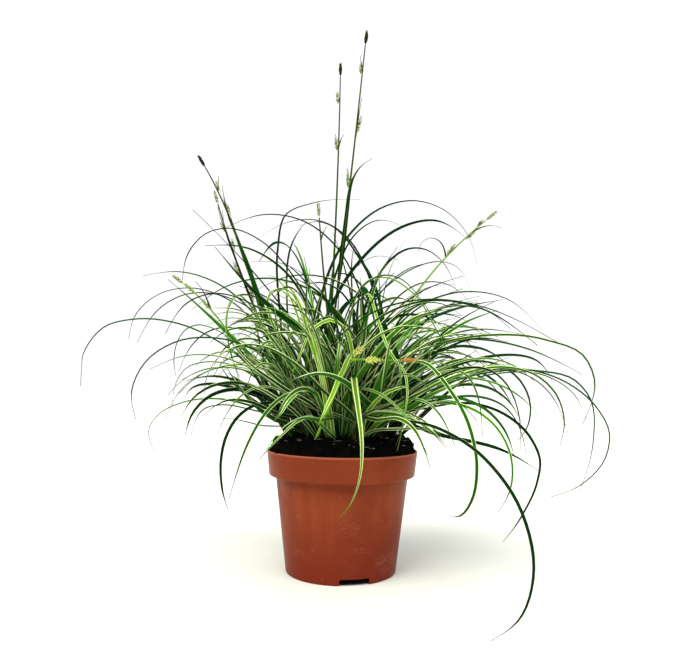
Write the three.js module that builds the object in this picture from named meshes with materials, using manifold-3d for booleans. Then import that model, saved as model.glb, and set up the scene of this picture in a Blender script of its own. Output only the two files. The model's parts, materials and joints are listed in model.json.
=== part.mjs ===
// A sedge (Carex) growing in a round plastic nursery pot. Millimetres, +Z up. The origin is the centre of
// the pot's foot, on the surface that it stands on; -Y is the front. The plant is a tuft of shoots: each is
// a sheath with its arching, keeled blades grown into it, and each stands in a hole of its own in the soil,
// as the thin flowering stems between them do.
import * as THREE from "three";
import { mergeVertices } from "three/addons/utils/BufferGeometryUtils.js";
import Module from "manifold-3d";

const wasm = await Module();
wasm.setup();

// The pot: a 120 mm nursery pot with a deep lip and a flat floor, notched at its edge to drain.
const POT_HEIGHT = 94;
const RIM_RADIUS = 60;
const LIP_HEIGHT = 19;
const LIP_FOOT_RADIUS = 58;
const SHOULDER_RADIUS = 52.5;
const FOOT_RADIUS = 43.5;
const WALL = 1.4;
const FLOOR = 1.6;
const NOTCH = { count: 3, width: 23, height: 4.8, depth: 14, facing: -76 };
const POT_SIDES = 32;

// The soil: mounded a little above the rim, crumbly on top.
const SOIL_EDGE = 93;
const SOIL_CROWN = 12;
const SOIL_ROUNDNESS = 14;
const SOIL_RINGS = [57, 53, 46, 31, 15, 0];
const SOIL_SIDES = 24;
const GAP = 0.3;

// The tuft: shoots on a spiral, leaning out more the further out they stand.
const SHOOTS = 26;
const TUFT_RADIUS = 43;
const GOLDEN_ANGLE = 137.508;
const TUFT_FLOOR = 104;
const EDGE_LEAN = 22;
const SHEATH = { buried: 12, height: 16, footRadius: 3.1, topRadius: 2.2, sides: 5 };

// Every blade: a flat strip with a keel, never thinner than this.
const THINNEST = 0.6;
const KEEL_SHARE = 0.27;
const TURN_PER_RING = 32;
const CREASE_REACH = 0.08;
const ROOT_ZONE = 32;
const BLADE_GAP = 0.4;

const GREEN = new THREE.MeshStandardMaterial({ color: 0x2f5a1c, roughness: 0.5, metalness: 0 });
const LIME = new THREE.MeshStandardMaterial({ color: 0x86a03a, roughness: 0.5, metalness: 0 });
const STEM = new THREE.MeshStandardMaterial({ color: 0x4f7a2a, roughness: 0.55, metalness: 0 });
const FLOWER = new THREE.MeshStandardMaterial({ color: 0x7a5a30, roughness: 0.8, metalness: 0 });
const PEAT = new THREE.MeshStandardMaterial({ color: 0x15110e, roughness: 0.95, metalness: 0 });
const PLASTIC = new THREE.MeshStandardMaterial({ color: 0x963e26, roughness: 0.45, metalness: 0 });

// The leaves that give the tuft its outline. A leaf starts on its shoot, faces one way (degrees from +X),
// leans from upright by `lean` at its root and `droop` at its tip; a high `bend` keeps its root half
// straight; `swing` turns it sideways on the way. Lengths and widths are in mm. These have a crease as well:
// at a share of their length they fold over by so many degrees.
// shoot, facing, lean, droop, length, bend, swing, width, crease at, crease by
const CREASED_LEAVES = [
  [23, 250, 5, 165, 165, 1, 75, 3.8, 0.25, 70],
  [7, 225, 20, 90, 155, 3.2, 35, 3.6, 0.65, 35],
  [23, 250, 10, 100, 195, 1.3, 5, 3.2, 0.4, 45],
  [17, 180, 35, 155, 240, 1.7, 10, 2.6, 0.8, 30],
  [6, 210, 20, 155, 220, 1.7, 30, 2.4, 0.7, 70],
  [22, 170, 65, 185, 190, 1.9, 0, 2.4, 0.8, 55],
  [25, 80, -10, 35, 240, 3.3, -55, 3, 0.65, 55],
  [21, 190, 45, 35, 240, 0.6, 75, 3.6, 0.4, 35],
  [1, 285, 0, 175, 250, 1.3, 20, 3, 0.9, -25],
  [22, 340, 50, 140, 300, 1.6, -15, 2.6, 0.85, 65],
  [23, 0, 55, 160, 270, 1.6, 10, 2.6, 0.7, 50],
  [21, 345, 45, 230, 275, 1.5, 5, 2.8, 0.75, 30],
  [21, 0, 50, 210, 250, 1, 50, 3.2, 0.65, 45],
  [18, 305, 35, 195, 220, 3.4, -10, 3.6, 0.3, 80],
  [23, 300, 70, 235, 255, 2, 20, 3.8, 0.15, 10],
  [3, 255, 0, 95, 265, 3.6, 70, 3.6, 0.4, 120],
];

// shoot, facing, lean, droop, length, bend, swing, width
const LONG_LEAVES = [
  // the tallest on the right
  [0, 45, 15, 120, 285, 0.6, -40, 3],
  [14, 5, -5, 175, 340, 2, 25, 2.4],
  [22, 335, 10, 115, 285, 1.9, 75, 3.6],
  // the left side
  [22, 125, 20, 65, 260, 1.9, -55, 2.8],
  [23, 200, 20, 190, 260, 3.2, -60, 2],
  [5, 180, 30, 50, 215, 0.9, 25, 1.8],
  [4, 200, -5, 105, 195, 1.7, -15, 2.2],
  [4, 160, 30, 40, 260, 3.1, -40, 3.4],
  [18, 105, -5, 120, 310, 1.3, 40, 2.8],
  [5, 140, -5, 120, 265, 1.7, 25, 2],
  [4, 255, 0, 140, 220, 1.6, 0, 3.2],
  [10, 145, 5, 95, 190, 1.6, 10, 1.8],
  [21, 200, -10, 130, 205, 1.3, -15, 2.4],
  [24, 260, 10, 125, 190, 1.6, -30, 2.2],
  [5, 145, -5, 135, 245, 1.1, 25, 2],
  [12, 155, 20, 105, 220, 1.6, 10, 2.4],
  [10, 210, 50, 210, 225, 2.8, -10, 2.6],
  [22, 160, 20, 185, 235, 2.2, 40, 1.8],
  [2, 170, 30, 150, 280, 1.7, -30, 2],
  [0, 205, 35, 160, 220, 2.4, 35, 1.8],
  [7, 190, 45, 50, 170, 0.7, -15, 2.4],
  [23, 200, 40, 200, 170, 2.5, 35, 2.6],
  [9, 170, 10, 150, 210, 1.1, -40, 2.2],
  [4, 180, 45, 230, 215, 3.7, -55, 1.8],
  [1, 160, 50, 165, 205, 1.8, 0, 1.8],
  [20, 210, 35, 125, 140, 1.5, -5, 2],
  [23, 190, 60, 55, 130, 1.8, -45, 3.8],
  [20, 190, 75, 30, 85, 1, -30, 3.6],
  [22, 180, 45, 110, 115, 1.5, -15, 3],
  [22, 175, 50, 125, 190, 1, -70, 3],
  [15, 170, 75, 140, 190, 2.4, -60, 2],
  [20, 215, 60, 130, 105, 2.3, 25, 2.4],
  [12, 210, 35, 225, 145, 1, 45, 3],
  [7, 250, 35, 155, 180, 0.8, 0, 2.6],
  [25, 195, 75, 85, 55, 1.5, 0, 1.8],
  // the right side
  [22, 355, 35, 145, 275, 2.1, 25, 2.4],
  [4, 25, 30, 85, 195, 1.1, -35, 3.4],
  [14, 65, 5, 110, 255, 2.6, -25, 2.2],
  [11, 45, 0, 160, 280, 1.9, 0, 2.4],
  [14, 355, 10, 125, 300, 1.3, 75, 2],
  [11, 40, 10, 135, 220, 1.9, -10, 2.2],
  [7, 315, -5, 135, 230, 0.8, 5, 2.8],
  [12, 305, -5, 125, 265, 0.6, 15, 2.8],
  [7, 355, 55, 120, 285, 1.4, 70, 2.8],
  [11, 0, 65, 175, 250, 3.1, 20, 2],
  [23, 340, 55, 215, 210, 2.7, 45, 2.4],
  [18, 10, 45, 150, 245, 1.2, 40, 1.8],
  [23, 330, 55, 200, 195, 2.8, -50, 3.2],
  [16, 355, 40, 235, 205, 2, 15, 2.8],
  [3, 320, 60, 180, 200, 3, -50, 2.4],
  [11, 15, 70, 170, 285, 1.9, 50, 2.4],
  [13, 330, 50, 225, 170, 1.4, -10, 2.6],
  [18, 305, 65, 120, 140, 2.1, -25, 2],
  [18, 345, 80, 120, 140, 0.8, 50, 3.4],
  [23, 295, 65, 125, 150, 1.2, -20, 2.8],
  [8, 295, 50, 140, 145, 1.2, -10, 2.4],
  // the front
  [2, 170, 0, 85, 145, 1.1, -50, 2.8],
  [7, 255, 30, 135, 120, 0.9, -5, 3.2],
  [15, 245, 60, 130, 120, 1.1, 5, 3.2],
  [23, 310, 25, 140, 85, 0.6, 40, 3],
  [24, 335, -10, 140, 80, 0.7, 10, 2.8],
];

// The flowering stems: foot x and y, facing, lean, droop, length, bend, swing; then the flower spikes below
// the one at the tip, each at a share of the length, so many mm long and set to one side (degrees from +X);
// then the leafy bracts, each at a share of the length, with its own length, facing, lean and droop.
const CULMS = [
  {
    path: [-20, 5, 0, 7, 5, 337, 0.7, 0],
    spikes: [[0.91, 9, 180], [0.76, 15, 180], [0.62, 17, 180]],
    bracts: [[0.61, 38, 0, 10, 75], [0.84, 13, 0, 20, 50], [0.94, 10, 180, 20, 50]],
  },
  {
    path: [-15, 35, 5, 2, 0, 322, 2.5, 10],
    spikes: [[0.9, 10, 180], [0.77, 15, 180]],
    bracts: [[0.79, 12, 0, 15, 40]],
  },
  {
    path: [-40, 15, 180, 16, 32, 247, 3.1, -10],
    spikes: [[0.9, 9, 0], [0.8, 11, 0]],
    bracts: [[0.9, 14, 90, 5, 10], [0.8, 28, 150, 20, 10]],
  },
  {
    path: [-25, 0, 175, 25, 17, 212, 2.9, 0],
    spikes: [[0.88, 10, 180], [0.8, 11, 0], [0.7, 13, 180]],
    bracts: [[0.78, 40, 170, 25, 0], [0.86, 26, 190, 25, 10]],
  },
  { path: [0, -25, 165, 8, 5, 178, 1.7, 35], spikes: [], bracts: [[0.9, 12, 0, 15, 40]] },
  {
    path: [20, 25, 25, 0, 52, 222, 0.8, -42],
    spikes: [[0.96, 8, 180], [0.89, 11, 0], [0.8, 12, 180]],
    bracts: [[0.93, 26, 350, 60, 125], [0.79, 42, 150, 10, 200]],
  },
  { path: [-40, -5, 180, 30, 54, 157, 2.8, -5], spikes: [[0.93, 11, 90]], bracts: [[0.8, 26, 200, 20, 50]] },
  {
    path: [-22, -39, 307, 33, 18, 108, 0.9, 46],
    crease: [0.66, 71],
    spikes: [[0.75, 12, 270], [0.62, 10, 180]],
    bracts: [[0.6, 50, 190, 125, 158]],
  },
  { path: [-35, -25, 175, 34, 30, 88, 1.9, -5], spikes: [[0.8, 11, 0]], bracts: [[0.78, 20, 180, 20, 30]] },
  { path: [-35, -10, 185, 30, 10, 93, 1.3, 5], spikes: [[0.8, 11, 180]], bracts: [[0.78, 24, 0, 10, 20]] },
];
const STEM_RADIUS = 1.15;
const STEM_TIP_RADIUS = 0.75;
const STEM_SIDES = 3;
const STEM_STRETCH = 38;
const STEM_BURIED = 8;
const SPIKE = { radius: 1.9, sides: 4, rowLength: 5, asideBy: 1, leaning: 0.16 };
const SEED_BUMP = 0.16;
const TIP_SPIKE = { length: 13, radius: 1.3, sides: 4, rowLength: 4.5 };

// The leaves that fill the tuft: how many a shoot aims at in all, how many tries each one gets, and the
// dome that they stay under, whose centre stands a little to the right.
const LEAVES_PER_SHOOT = 11;
const TRIES = 60;
const DOME = { centre: 14, reach: 148, height: 166 };
const LIME_SHOOTS = [1, 7];

const { degToRad, lerp, clamp, smoothstep } = THREE.MathUtils;

// The same random draws every time (mulberry32).
let seed = 5;
function random() {
  seed = (seed + 0x6d2b79f5) | 0;
  let t = Math.imul(seed ^ (seed >>> 15), 1 | seed);
  t = (t + Math.imul(t ^ (t >>> 7), 61 | t)) ^ t;
  return ((t ^ (t >>> 14)) >>> 0) / 4294967296;
}
const between = (low, high) => lerp(low, high, random());

// ---- solids ----

function solidFrom(points, faces) {
  const vertProperties = new Float32Array(points.flatMap((p) => p.toArray()));
  return new wasm.Manifold(new wasm.Mesh({ numProp: 3, vertProperties, triVerts: new Uint32Array(faces) }));
}

function solidOf(geometry) {
  geometry.deleteAttribute("normal");
  geometry.deleteAttribute("uv");
  const merged = mergeVertices(geometry);
  const vertProperties = new Float32Array(merged.getAttribute("position").array);
  const triVerts = new Uint32Array(merged.index.array);
  return new wasm.Manifold(new wasm.Mesh({ numProp: 3, vertProperties, triVerts }));
}

// A closed body through rings of as many points each, wound anticlockwise as seen from its far end. It ends
// in its last ring, or in a point.
function loft(rings, tip) {
  const sides = rings[0].length;
  const points = rings.flat();
  const last = (rings.length - 1) * sides;
  const faces = [];
  for (let k = 1; k < sides - 1; k++) faces.push(0, k + 1, k);
  for (let start = 0; start < last; start += sides)
    for (let k = 0; k < sides; k++) {
      const a = start + k;
      const b = start + ((k + 1) % sides);
      faces.push(a, b, b + sides, a, b + sides, a + sides);
    }
  if (tip) {
    points.push(tip);
    for (let k = 0; k < sides; k++) faces.push(last + k, last + ((k + 1) % sides), points.length - 1);
  } else for (let k = 1; k < sides - 1; k++) faces.push(last, last + k, last + k + 1);
  return solidFrom(points, faces);
}

// A ring of points round a place on a path.
function roundRing(place, radius, sides) {
  return Array.from({ length: sides }, (_, k) => {
    const turn = (2 * Math.PI * k) / sides;
    return place.point
      .clone()
      .addScaledVector(place.normal, radius * Math.cos(turn))
      .addScaledVector(place.side, -radius * Math.sin(turn));
  });
}

// Joins solids into one body, with the shortest edges closed up.
const SHORTEST_EDGE = 0.01;
function join(solids) {
  return wasm.Manifold.union(solids).simplify(SHORTEST_EDGE);
}

function meshOf(name, solid, material) {
  const { vertProperties, triVerts } = solid.getMesh();
  const geometry = new THREE.BufferGeometry()
    .setAttribute("position", new THREE.BufferAttribute(vertProperties, 3))
    .setIndex(new THREE.BufferAttribute(triVerts, 1));
  geometry.computeVertexNormals();
  const mesh = new THREE.Mesh(geometry, material);
  mesh.name = name;
  return mesh;
}

// ---- pot and soil ----

// Turns an outline of [radius, height] points about the upright axis.
function turned(outline, sides) {
  const points = outline.map(([r, z]) => new THREE.Vector2(r, z));
  return new THREE.LatheGeometry(points, sides).rotateX(Math.PI / 2);
}

function makePot() {
  const lipFoot = POT_HEIGHT - LIP_HEIGHT;
  const outline = [
    [0, 0],
    [FOOT_RADIUS - 0.5, 0],
    [FOOT_RADIUS, 0.8],
    [SHOULDER_RADIUS, lipFoot - 1.5],
    [SHOULDER_RADIUS + 1, lipFoot - 0.5],
    [LIP_FOOT_RADIUS - 1.5, lipFoot - 0.2],
    [LIP_FOOT_RADIUS, lipFoot + 1.5],
    [RIM_RADIUS, POT_HEIGHT - 0.6],
    [RIM_RADIUS - 0.4, POT_HEIGHT],
    [RIM_RADIUS - WALL, POT_HEIGHT],
    [LIP_FOOT_RADIUS - WALL, lipFoot + 2],
    [SHOULDER_RADIUS - WALL, lipFoot],
    [FOOT_RADIUS - WALL, FLOOR],
    [0, FLOOR],
  ];
  let pot = solidOf(turned(outline, POT_SIDES));
  for (let k = 0; k < NOTCH.count; k++) {
    const notch = new THREE.BoxGeometry(NOTCH.depth, NOTCH.width, 2 * NOTCH.height);
    notch.translate(FOOT_RADIUS, 0, 0);
    notch.rotateZ(degToRad(NOTCH.facing + (k * 360) / NOTCH.count));
    pot = pot.subtract(solidOf(notch));
  }
  return pot;
}

// How high the soil stands at a place: a mound that falls off to the rim, with low crumbs and hollows.
function soilHeight(x, y) {
  const share = Math.min(1, Math.hypot(x, y) / (RIM_RADIUS - WALL));
  const crumbs = 0.9 * Math.sin(0.31 * x + 1.7 * Math.sin(0.13 * y)) * Math.cos(0.27 * y - 0.6);
  return SOIL_EDGE + (SOIL_CROWN + crumbs) * (1 - share ** SOIL_ROUNDNESS);
}

function makeSoil(holes) {
  const lipFoot = POT_HEIGHT - LIP_HEIGHT;
  const inside = WALL + GAP;
  const outline = [
    [0, FLOOR + GAP],
    [FOOT_RADIUS - inside, FLOOR + GAP],
    [SHOULDER_RADIUS - inside, lipFoot + GAP],
    [LIP_FOOT_RADIUS - inside, lipFoot + 2.5],
    [RIM_RADIUS - inside - 0.2, SOIL_EDGE],
    ...SOIL_RINGS.map((r) => [r, POT_HEIGHT]),
  ];
  const geometry = turned(outline, SOIL_SIDES);
  const place = geometry.getAttribute("position");
  for (let i = 0; i < place.count; i++)
    if (place.getZ(i) > SOIL_EDGE + GAP) place.setZ(i, soilHeight(place.getX(i), place.getY(i)));
  return solidOf(geometry).subtract(join(holes));
}

// ---- paths ----

// The level direction that lies so many degrees from +X.
function heading(degrees) {
  return new THREE.Vector3(Math.cos(degToRad(degrees)), Math.sin(degToRad(degrees)), 0);
}

// Places along a path that starts at `start`: its lean from upright goes from `lean` to `droop`, faster
// towards the tip, with a fold where there is a crease, while it swings sideways. They lie closer together
// where the path turns more.
const STEPS = 80;
const TURN_PER_LENGTH = 220;
function pathPlaces({ start, facing, lean, droop, length, bend, swing, crease = [] }, count) {
  const [creaseAt = 0, creaseBy = 0] = crease;
  const tiltAt = (s) => {
    const folded = creaseBy * smoothstep(s, creaseAt - CREASE_REACH, creaseAt + CREASE_REACH);
    return lean + (droop - lean) * s ** bend + folded;
  };
  const point = start.clone();
  const walk = [];
  let spent = 0;
  for (let i = 0; i <= STEPS; i++) {
    const s = i / STEPS;
    const tilt = degToRad(tiltAt(s));
    const tangent = heading(facing + swing * s).multiplyScalar(Math.sin(tilt)).setZ(Math.cos(tilt));
    const side = heading(facing + swing * s + 90);
    walk.push({ s, spent, point: point.clone(), tangent, side, normal: tangent.clone().cross(side) });
    point.addScaledVector(tangent, length / STEPS);
    spent += 1 / STEPS + Math.abs(tiltAt(s + 1 / STEPS) - tiltAt(s)) / TURN_PER_LENGTH;
  }
  const total = walk[STEPS].spent;
  return Array.from({ length: count + 1 }, (_, k) => walk.find((w) => w.spent > (k * total) / count - 1e-9));
}

// How much a path turns in all, in degrees.
function turning({ lean, droop, crease = [] }) {
  return Math.abs(droop - lean) + Math.abs(crease[1] ?? 0);
}

// ---- blades ----

function bladeWidth(blade, s) {
  const fullest = Math.min(1, 0.62 + 1.7 * s) * (1 - s ** 2.6) ** 0.8;
  return Math.max(blade.width * fullest, 1.5 * THINNEST);
}

function bladePlaces(blade) {
  return pathPlaces(blade, clamp(Math.round(turning(blade) / TURN_PER_RING) + 2, 3, 9));
}

function makeBlade(blade, places) {
  const rings = places.slice(0, -1).map((place) => {
    const width = bladeWidth(blade, place.s);
    const keel = Math.max(THINNEST, KEEL_SHARE * width);
    return [
      place.point.clone().addScaledVector(place.side, -width / 2),
      place.point.clone().addScaledVector(place.normal, -keel),
      place.point.clone().addScaledVector(place.side, width / 2),
    ];
  });
  return loft(rings, places.at(-1).point);
}

// ---- keeping clear ----

// Remembers which places are taken, as balls in a grid of cells, so that nothing grows through another.
const CELL = 8;
const BALL_STEP = 2.5;
const taken = new Map();
const cellOf = (v) => Math.floor(v / CELL) + 512;
const keyOf = (i, j, k) => (i * 1024 + j) * 1024 + k;

// Balls along a path of straight stretches, with the body's half width there.
function ballsAlong(places, halfWidth, owner) {
  const balls = [];
  let gone = 0;
  for (let i = 0; i + 1 < places.length; i++) {
    const [a, b] = [places[i], places[i + 1]];
    const stretch = a.point.distanceTo(b.point);
    const count = Math.ceil(stretch / BALL_STEP);
    for (let k = 0; k < count; k++) {
      const point = a.point.clone().lerp(b.point, k / count);
      const along = gone + (stretch * k) / count;
      balls.push({ point, radius: halfWidth(lerp(a.s, b.s, k / count)), owner, rooted: along < ROOT_ZONE });
    }
    gone += stretch;
  }
  balls.push({ point: places.at(-1).point, radius: THINNEST / 2, owner, rooted: gone < ROOT_ZONE });
  return balls;
}

function take(balls) {
  for (const ball of balls) {
    const key = keyOf(...ball.point.toArray().map(cellOf));
    if (!taken.has(key)) taken.set(key, []);
    taken.get(key).push(ball);
  }
}

function meets(ball, other) {
  if (ball.owner === other.owner && ball.rooted && other.rooted) return false;
  return ball.point.distanceTo(other.point) < ball.radius + other.radius + BLADE_GAP;
}

function isFree(ball) {
  const [i, j, k] = ball.point.toArray().map(cellOf);
  for (let a = i - 1; a <= i + 1; a++)
    for (let b = j - 1; b <= j + 1; b++)
      for (let c = k - 1; c <= k + 1; c++)
        if ((taken.get(keyOf(a, b, c)) ?? []).some((other) => meets(ball, other))) return false;
  return true;
}

// Above the soil, outside the pot and off the ground.
function isClearOfPot({ point, radius }) {
  const reach = Math.hypot(point.x, point.y);
  const room = 0.7 + 0.7 * radius;
  if (reach > RIM_RADIUS + 0.8 + radius) return point.z > 2 + radius;
  if (reach > RIM_RADIUS - 3) return point.z > POT_HEIGHT + 3 + room;
  return point.z > soilHeight(point.x, point.y) + room;
}

// ---- shoots ----

function makeShoot(index) {
  const radius = TUFT_RADIUS * Math.sqrt((index + 0.5) / SHOOTS);
  const facing = GOLDEN_ANGLE * index;
  const lean = (EDGE_LEAN * radius) / TUFT_RADIUS;
  const foot = heading(facing).multiplyScalar(radius).setZ(TUFT_FLOOR);
  const path = { facing, lean, droop: lean, bend: 1, swing: 0 };
  const axis = pathPlaces({ ...path, start: foot, length: 1 }, 1)[0].tangent;
  const start = foot.clone().addScaledVector(axis, -SHEATH.buried);
  const length = SHEATH.buried + SHEATH.height;
  const places = pathPlaces({ ...path, start, length }, 1);
  const shoot = { index, radius, facing, foot, axis, places, blades: [] };
  take(ballsAlong(places, () => SHEATH.footRadius, shoot));
  return shoot;
}

// The sheath, and the hole that it stands in, which is wider by a gap.
function makeSheath({ places: [low, high] }, wider = 0) {
  const { footRadius, topRadius, sides } = SHEATH;
  const bottom = { ...low, point: low.point.clone().addScaledVector(low.tangent, -wider) };
  const rings = [roundRing(bottom, footRadius + wider, sides), roundRing(high, topRadius + wider, sides)];
  return loft(rings, high.point.clone().addScaledVector(high.tangent, 2));
}

// Steeper blades stand higher on the sheath, as the younger leaves do.
function rootOf(shoot, lean) {
  return shoot.foot.clone().addScaledVector(shoot.axis, clamp(14 - 0.15 * lean, 5, 14));
}

// Grows a blade on its shoot, bent a little this way and that until it is clear of everything.
function grow(shoot, blade, { tries = 1, fits = () => true } = {}) {
  for (let k = 0; k < tries; k++) {
    const wander = (k + 1) >> 1;
    const aside = k % 2 ? -wander : wander;
    const tried = {
      ...blade,
      facing: blade.facing + aside,
      swing: blade.swing - aside,
      lean: blade.lean + [0, 1, -1][k % 3],
      start: rootOf(shoot, blade.lean),
    };
    const places = bladePlaces(tried);
    const balls = ballsAlong(places, (s) => bladeWidth(tried, s) / 2, shoot);
    if (places.every(fits) && balls.every((ball) => isClearOfPot(ball) && isFree(ball))) {
      take(balls);
      shoot.blades.push(makeBlade(tried, places));
      return true;
    }
  }
  return false;
}

function isUnderDome({ point }) {
  const { centre, reach, height } = DOME;
  const above = Math.max(0, point.z - TUFT_FLOOR);
  return Math.hypot((point.x - centre) / reach, point.y / reach, above / height) < 1;
}

// A leaf of the filling: it faces away from the middle of the tuft, the more so the further out it stands.
function fillingLeaf(shoot) {
  const out = shoot.radius / TUFT_RADIUS;
  const lean = between(0, 12 + 38 * out);
  return {
    facing: shoot.facing + between(-1, 1) * lerp(180, 75, out),
    lean,
    droop: lean + between(45, 140),
    length: between(110, 215),
    bend: between(1.1, 2.4),
    swing: between(-35, 35),
    width: between(2, 3.6),
  };
}

// ---- flowering stems ----

// A flower spike along a path: fat in the middle, with rows of seeds.
function makeSpike(place, length, { radius, sides, rowLength }) {
  const rows = Math.max(3, Math.round(length / rowLength));
  const rings = [];
  for (let i = 0; i <= rows; i++) {
    const share = i / rows;
    const fat = 0.45 + 0.55 * Math.sin(Math.PI * Math.min(1, 0.12 + share));
    const seeds = 1 + SEED_BUMP * (i % 2 ? 1 : -1);
    const centre = place.point.clone().addScaledVector(place.tangent, share * length);
    rings.push(roundRing({ ...place, point: centre }, radius * fat * seeds, sides));
  }
  return loft(rings, place.point.clone().addScaledVector(place.tangent, length + 1.2));
}

// The place at the far end of a straight stretch.
const further = (place, length) => ({
  ...place,
  point: place.point.clone().addScaledVector(place.tangent, length),
});

function makeCulm({ path, crease, spikes, bracts }) {
  const [x, y, facing, lean, droop, length, bend, swing] = path;
  const start = new THREE.Vector3(x, y, TUFT_FLOOR - STEM_BURIED / 2);
  const line = { start, facing, lean, droop, length, bend, swing, crease };
  const places = pathPlaces(line, clamp(Math.round(length / STEM_STRETCH), 4, 9));
  places[0] = further(places[0], -STEM_BURIED / 2);
  const radiusAt = (s) => lerp(STEM_RADIUS, STEM_TIP_RADIUS, s);
  const owner = {};
  take(ballsAlong(places, radiusAt, owner));
  const pieces = [loft(places.map((place) => roundRing(place, radiusAt(place.s), STEM_SIDES)))];
  const placeAt = (share) => {
    const k = places.findIndex((place) => place.s > share);
    const [low, high] = [places[k - 1], places[k]];
    const point = low.point.clone().lerp(high.point, (share - low.s) / (high.s - low.s));
    return { ...low, point, tangent: high.point.clone().sub(low.point).normalize() };
  };

  for (const [share, spikeLength, towards] of spikes) {
    const outward = heading(towards);
    const place = placeAt(share);
    const seat = place.point.clone().addScaledVector(outward, SPIKE.asideBy);
    const tangent = place.tangent.clone().addScaledVector(outward, SPIKE.leaning).normalize();
    const seated = { ...place, point: seat, tangent };
    pieces.push(makeSpike(seated, spikeLength, SPIKE));
    take(ballsAlong([seated, further(seated, spikeLength)], () => SPIKE.radius * 1.2, owner));
  }
  for (const [share, bractLength, bractFacing, bractLean, bractDroop] of bracts) {
    const blade = {
      start: placeAt(share).point,
      facing: bractFacing,
      lean: bractLean,
      droop: bractDroop,
      length: bractLength,
      bend: 1.4,
      swing: 0,
      width: 1.8,
    };
    const bractPlaces = bladePlaces(blade);
    pieces.push(makeBlade(blade, bractPlaces));
    take(ballsAlong(bractPlaces, () => blade.width / 2, owner));
  }

  const end = further(places.at(-1), GAP);
  take(ballsAlong([end, further(end, TIP_SPIKE.length)], () => TIP_SPIKE.radius, owner));
  const foot = placeAt(0);
  const holeRings = [further(foot, -GAP), further(foot, 2 * STEM_BURIED)].map((place) =>
    roundRing(place, STEM_RADIUS + 3 * GAP, STEM_SIDES),
  );
  return { stem: join(pieces), tip: makeSpike(end, TIP_SPIKE.length, TIP_SPIKE), hole: loft(holeRings) };
}

// ---- the whole plant ----

const LEAVES = [...CREASED_LEAVES, ...LONG_LEAVES];
const sedge = new THREE.Group();
const culms = CULMS.map(makeCulm);
const shoots = Array.from({ length: SHOOTS }, (_, index) => makeShoot(index));

for (const [index, facing, lean, droop, length, bend, swing, width, ...crease] of LEAVES) {
  grow(shoots[index], { facing, lean, droop, length, bend, swing, width, crease }, { tries: 15 });
}
for (let round = 0; round < LEAVES_PER_SHOOT; round++)
  for (const shoot of shoots)
    for (let k = 0; k < TRIES && shoot.blades.length <= round; k++)
      grow(shoot, fillingLeaf(shoot), { fits: isUnderDome });

const holes = [...culms.map((culm) => culm.hole), ...shoots.map((shoot) => makeSheath(shoot, GAP))];
sedge.add(meshOf("pot", makePot(), PLASTIC));
sedge.add(meshOf("soil", makeSoil(holes), PEAT));
for (const shoot of shoots) {
  const name = "shoot_" + String(shoot.index + 1).padStart(2, "0");
  const solid = join([makeSheath(shoot), ...shoot.blades]);
  sedge.add(meshOf(name, solid, LIME_SHOOTS.includes(shoot.index) ? LIME : GREEN));
}
culms.forEach(({ stem, tip }, k) => {
  sedge.add(meshOf(`culm_${k + 1}`, stem, STEM));
  sedge.add(meshOf(`culm_${k + 1}_tip`, tip, FLOWER));
});

export default sedge;
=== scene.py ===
"""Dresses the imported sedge: fine, cream-edged blades along the solids' own blades, flower spikes of single
fruits, crumbly soil and the moulded plastic pot. Metres, +Z up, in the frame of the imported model."""

import json
import math

import bmesh
import bpy
import numpy as np
from mathutils import Matrix, Vector, noise


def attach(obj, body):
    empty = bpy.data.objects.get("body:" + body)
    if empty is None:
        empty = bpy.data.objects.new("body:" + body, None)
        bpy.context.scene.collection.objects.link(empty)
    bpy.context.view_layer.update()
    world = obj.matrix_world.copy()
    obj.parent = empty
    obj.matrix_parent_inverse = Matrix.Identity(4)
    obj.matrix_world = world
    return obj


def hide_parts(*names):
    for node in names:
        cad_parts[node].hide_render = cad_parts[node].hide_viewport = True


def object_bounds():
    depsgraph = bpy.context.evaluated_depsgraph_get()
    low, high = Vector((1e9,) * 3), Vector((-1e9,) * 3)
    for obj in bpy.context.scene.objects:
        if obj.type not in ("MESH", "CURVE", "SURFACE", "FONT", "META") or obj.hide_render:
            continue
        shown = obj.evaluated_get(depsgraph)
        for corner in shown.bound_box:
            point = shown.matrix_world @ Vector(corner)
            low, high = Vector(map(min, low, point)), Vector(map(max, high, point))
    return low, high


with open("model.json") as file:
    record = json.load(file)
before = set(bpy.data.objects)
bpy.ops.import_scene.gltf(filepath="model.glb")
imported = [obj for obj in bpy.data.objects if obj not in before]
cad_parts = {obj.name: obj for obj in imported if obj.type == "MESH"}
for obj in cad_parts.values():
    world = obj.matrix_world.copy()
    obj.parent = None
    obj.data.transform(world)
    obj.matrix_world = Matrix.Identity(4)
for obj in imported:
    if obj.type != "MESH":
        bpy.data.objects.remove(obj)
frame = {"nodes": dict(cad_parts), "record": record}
cad_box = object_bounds()

MM = 0.001
BODY = "root"
rng = np.random.default_rng(11)

# The camera: in front of the pot, a little above its rim and looking slightly up. The focal length is in mm.
CAMERA_DISTANCE = 0.5279
CAMERA_HEIGHT = 0.1483
CAMERA_PITCH = math.radians(4.64)
CAMERA_YAW = math.radians(0.51)
CAMERA_ROLL = math.radians(0.85)
SENSOR_WIDTH = 36
FOCAL_LENGTH = 33.37

# The studio: broad soft lights (name, place, strength, colour) in white surroundings, which are brighter
# where they are seen than they are as light.
SUN_BREADTH = math.radians(42)
SUNS = [
    ("key", (-0.6, -0.8, 1.5), 3.9, (1.0, 0.99, 0.95)),
    ("fill", (0.8, -0.7, 1.4), 1.5, (0.97, 0.98, 1.0)),
    ("top", (0.1, 0.5, 1.6), 0.9, (1.0, 1.0, 1.0)),
]
STUDIO_LIGHT = ((0.96, 0.98, 1.0, 1), 0.3)
STUDIO_SEEN = ((1.0, 1.0, 1.0, 1), 1.05)
FLOOR_RADIUS = 6

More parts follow.
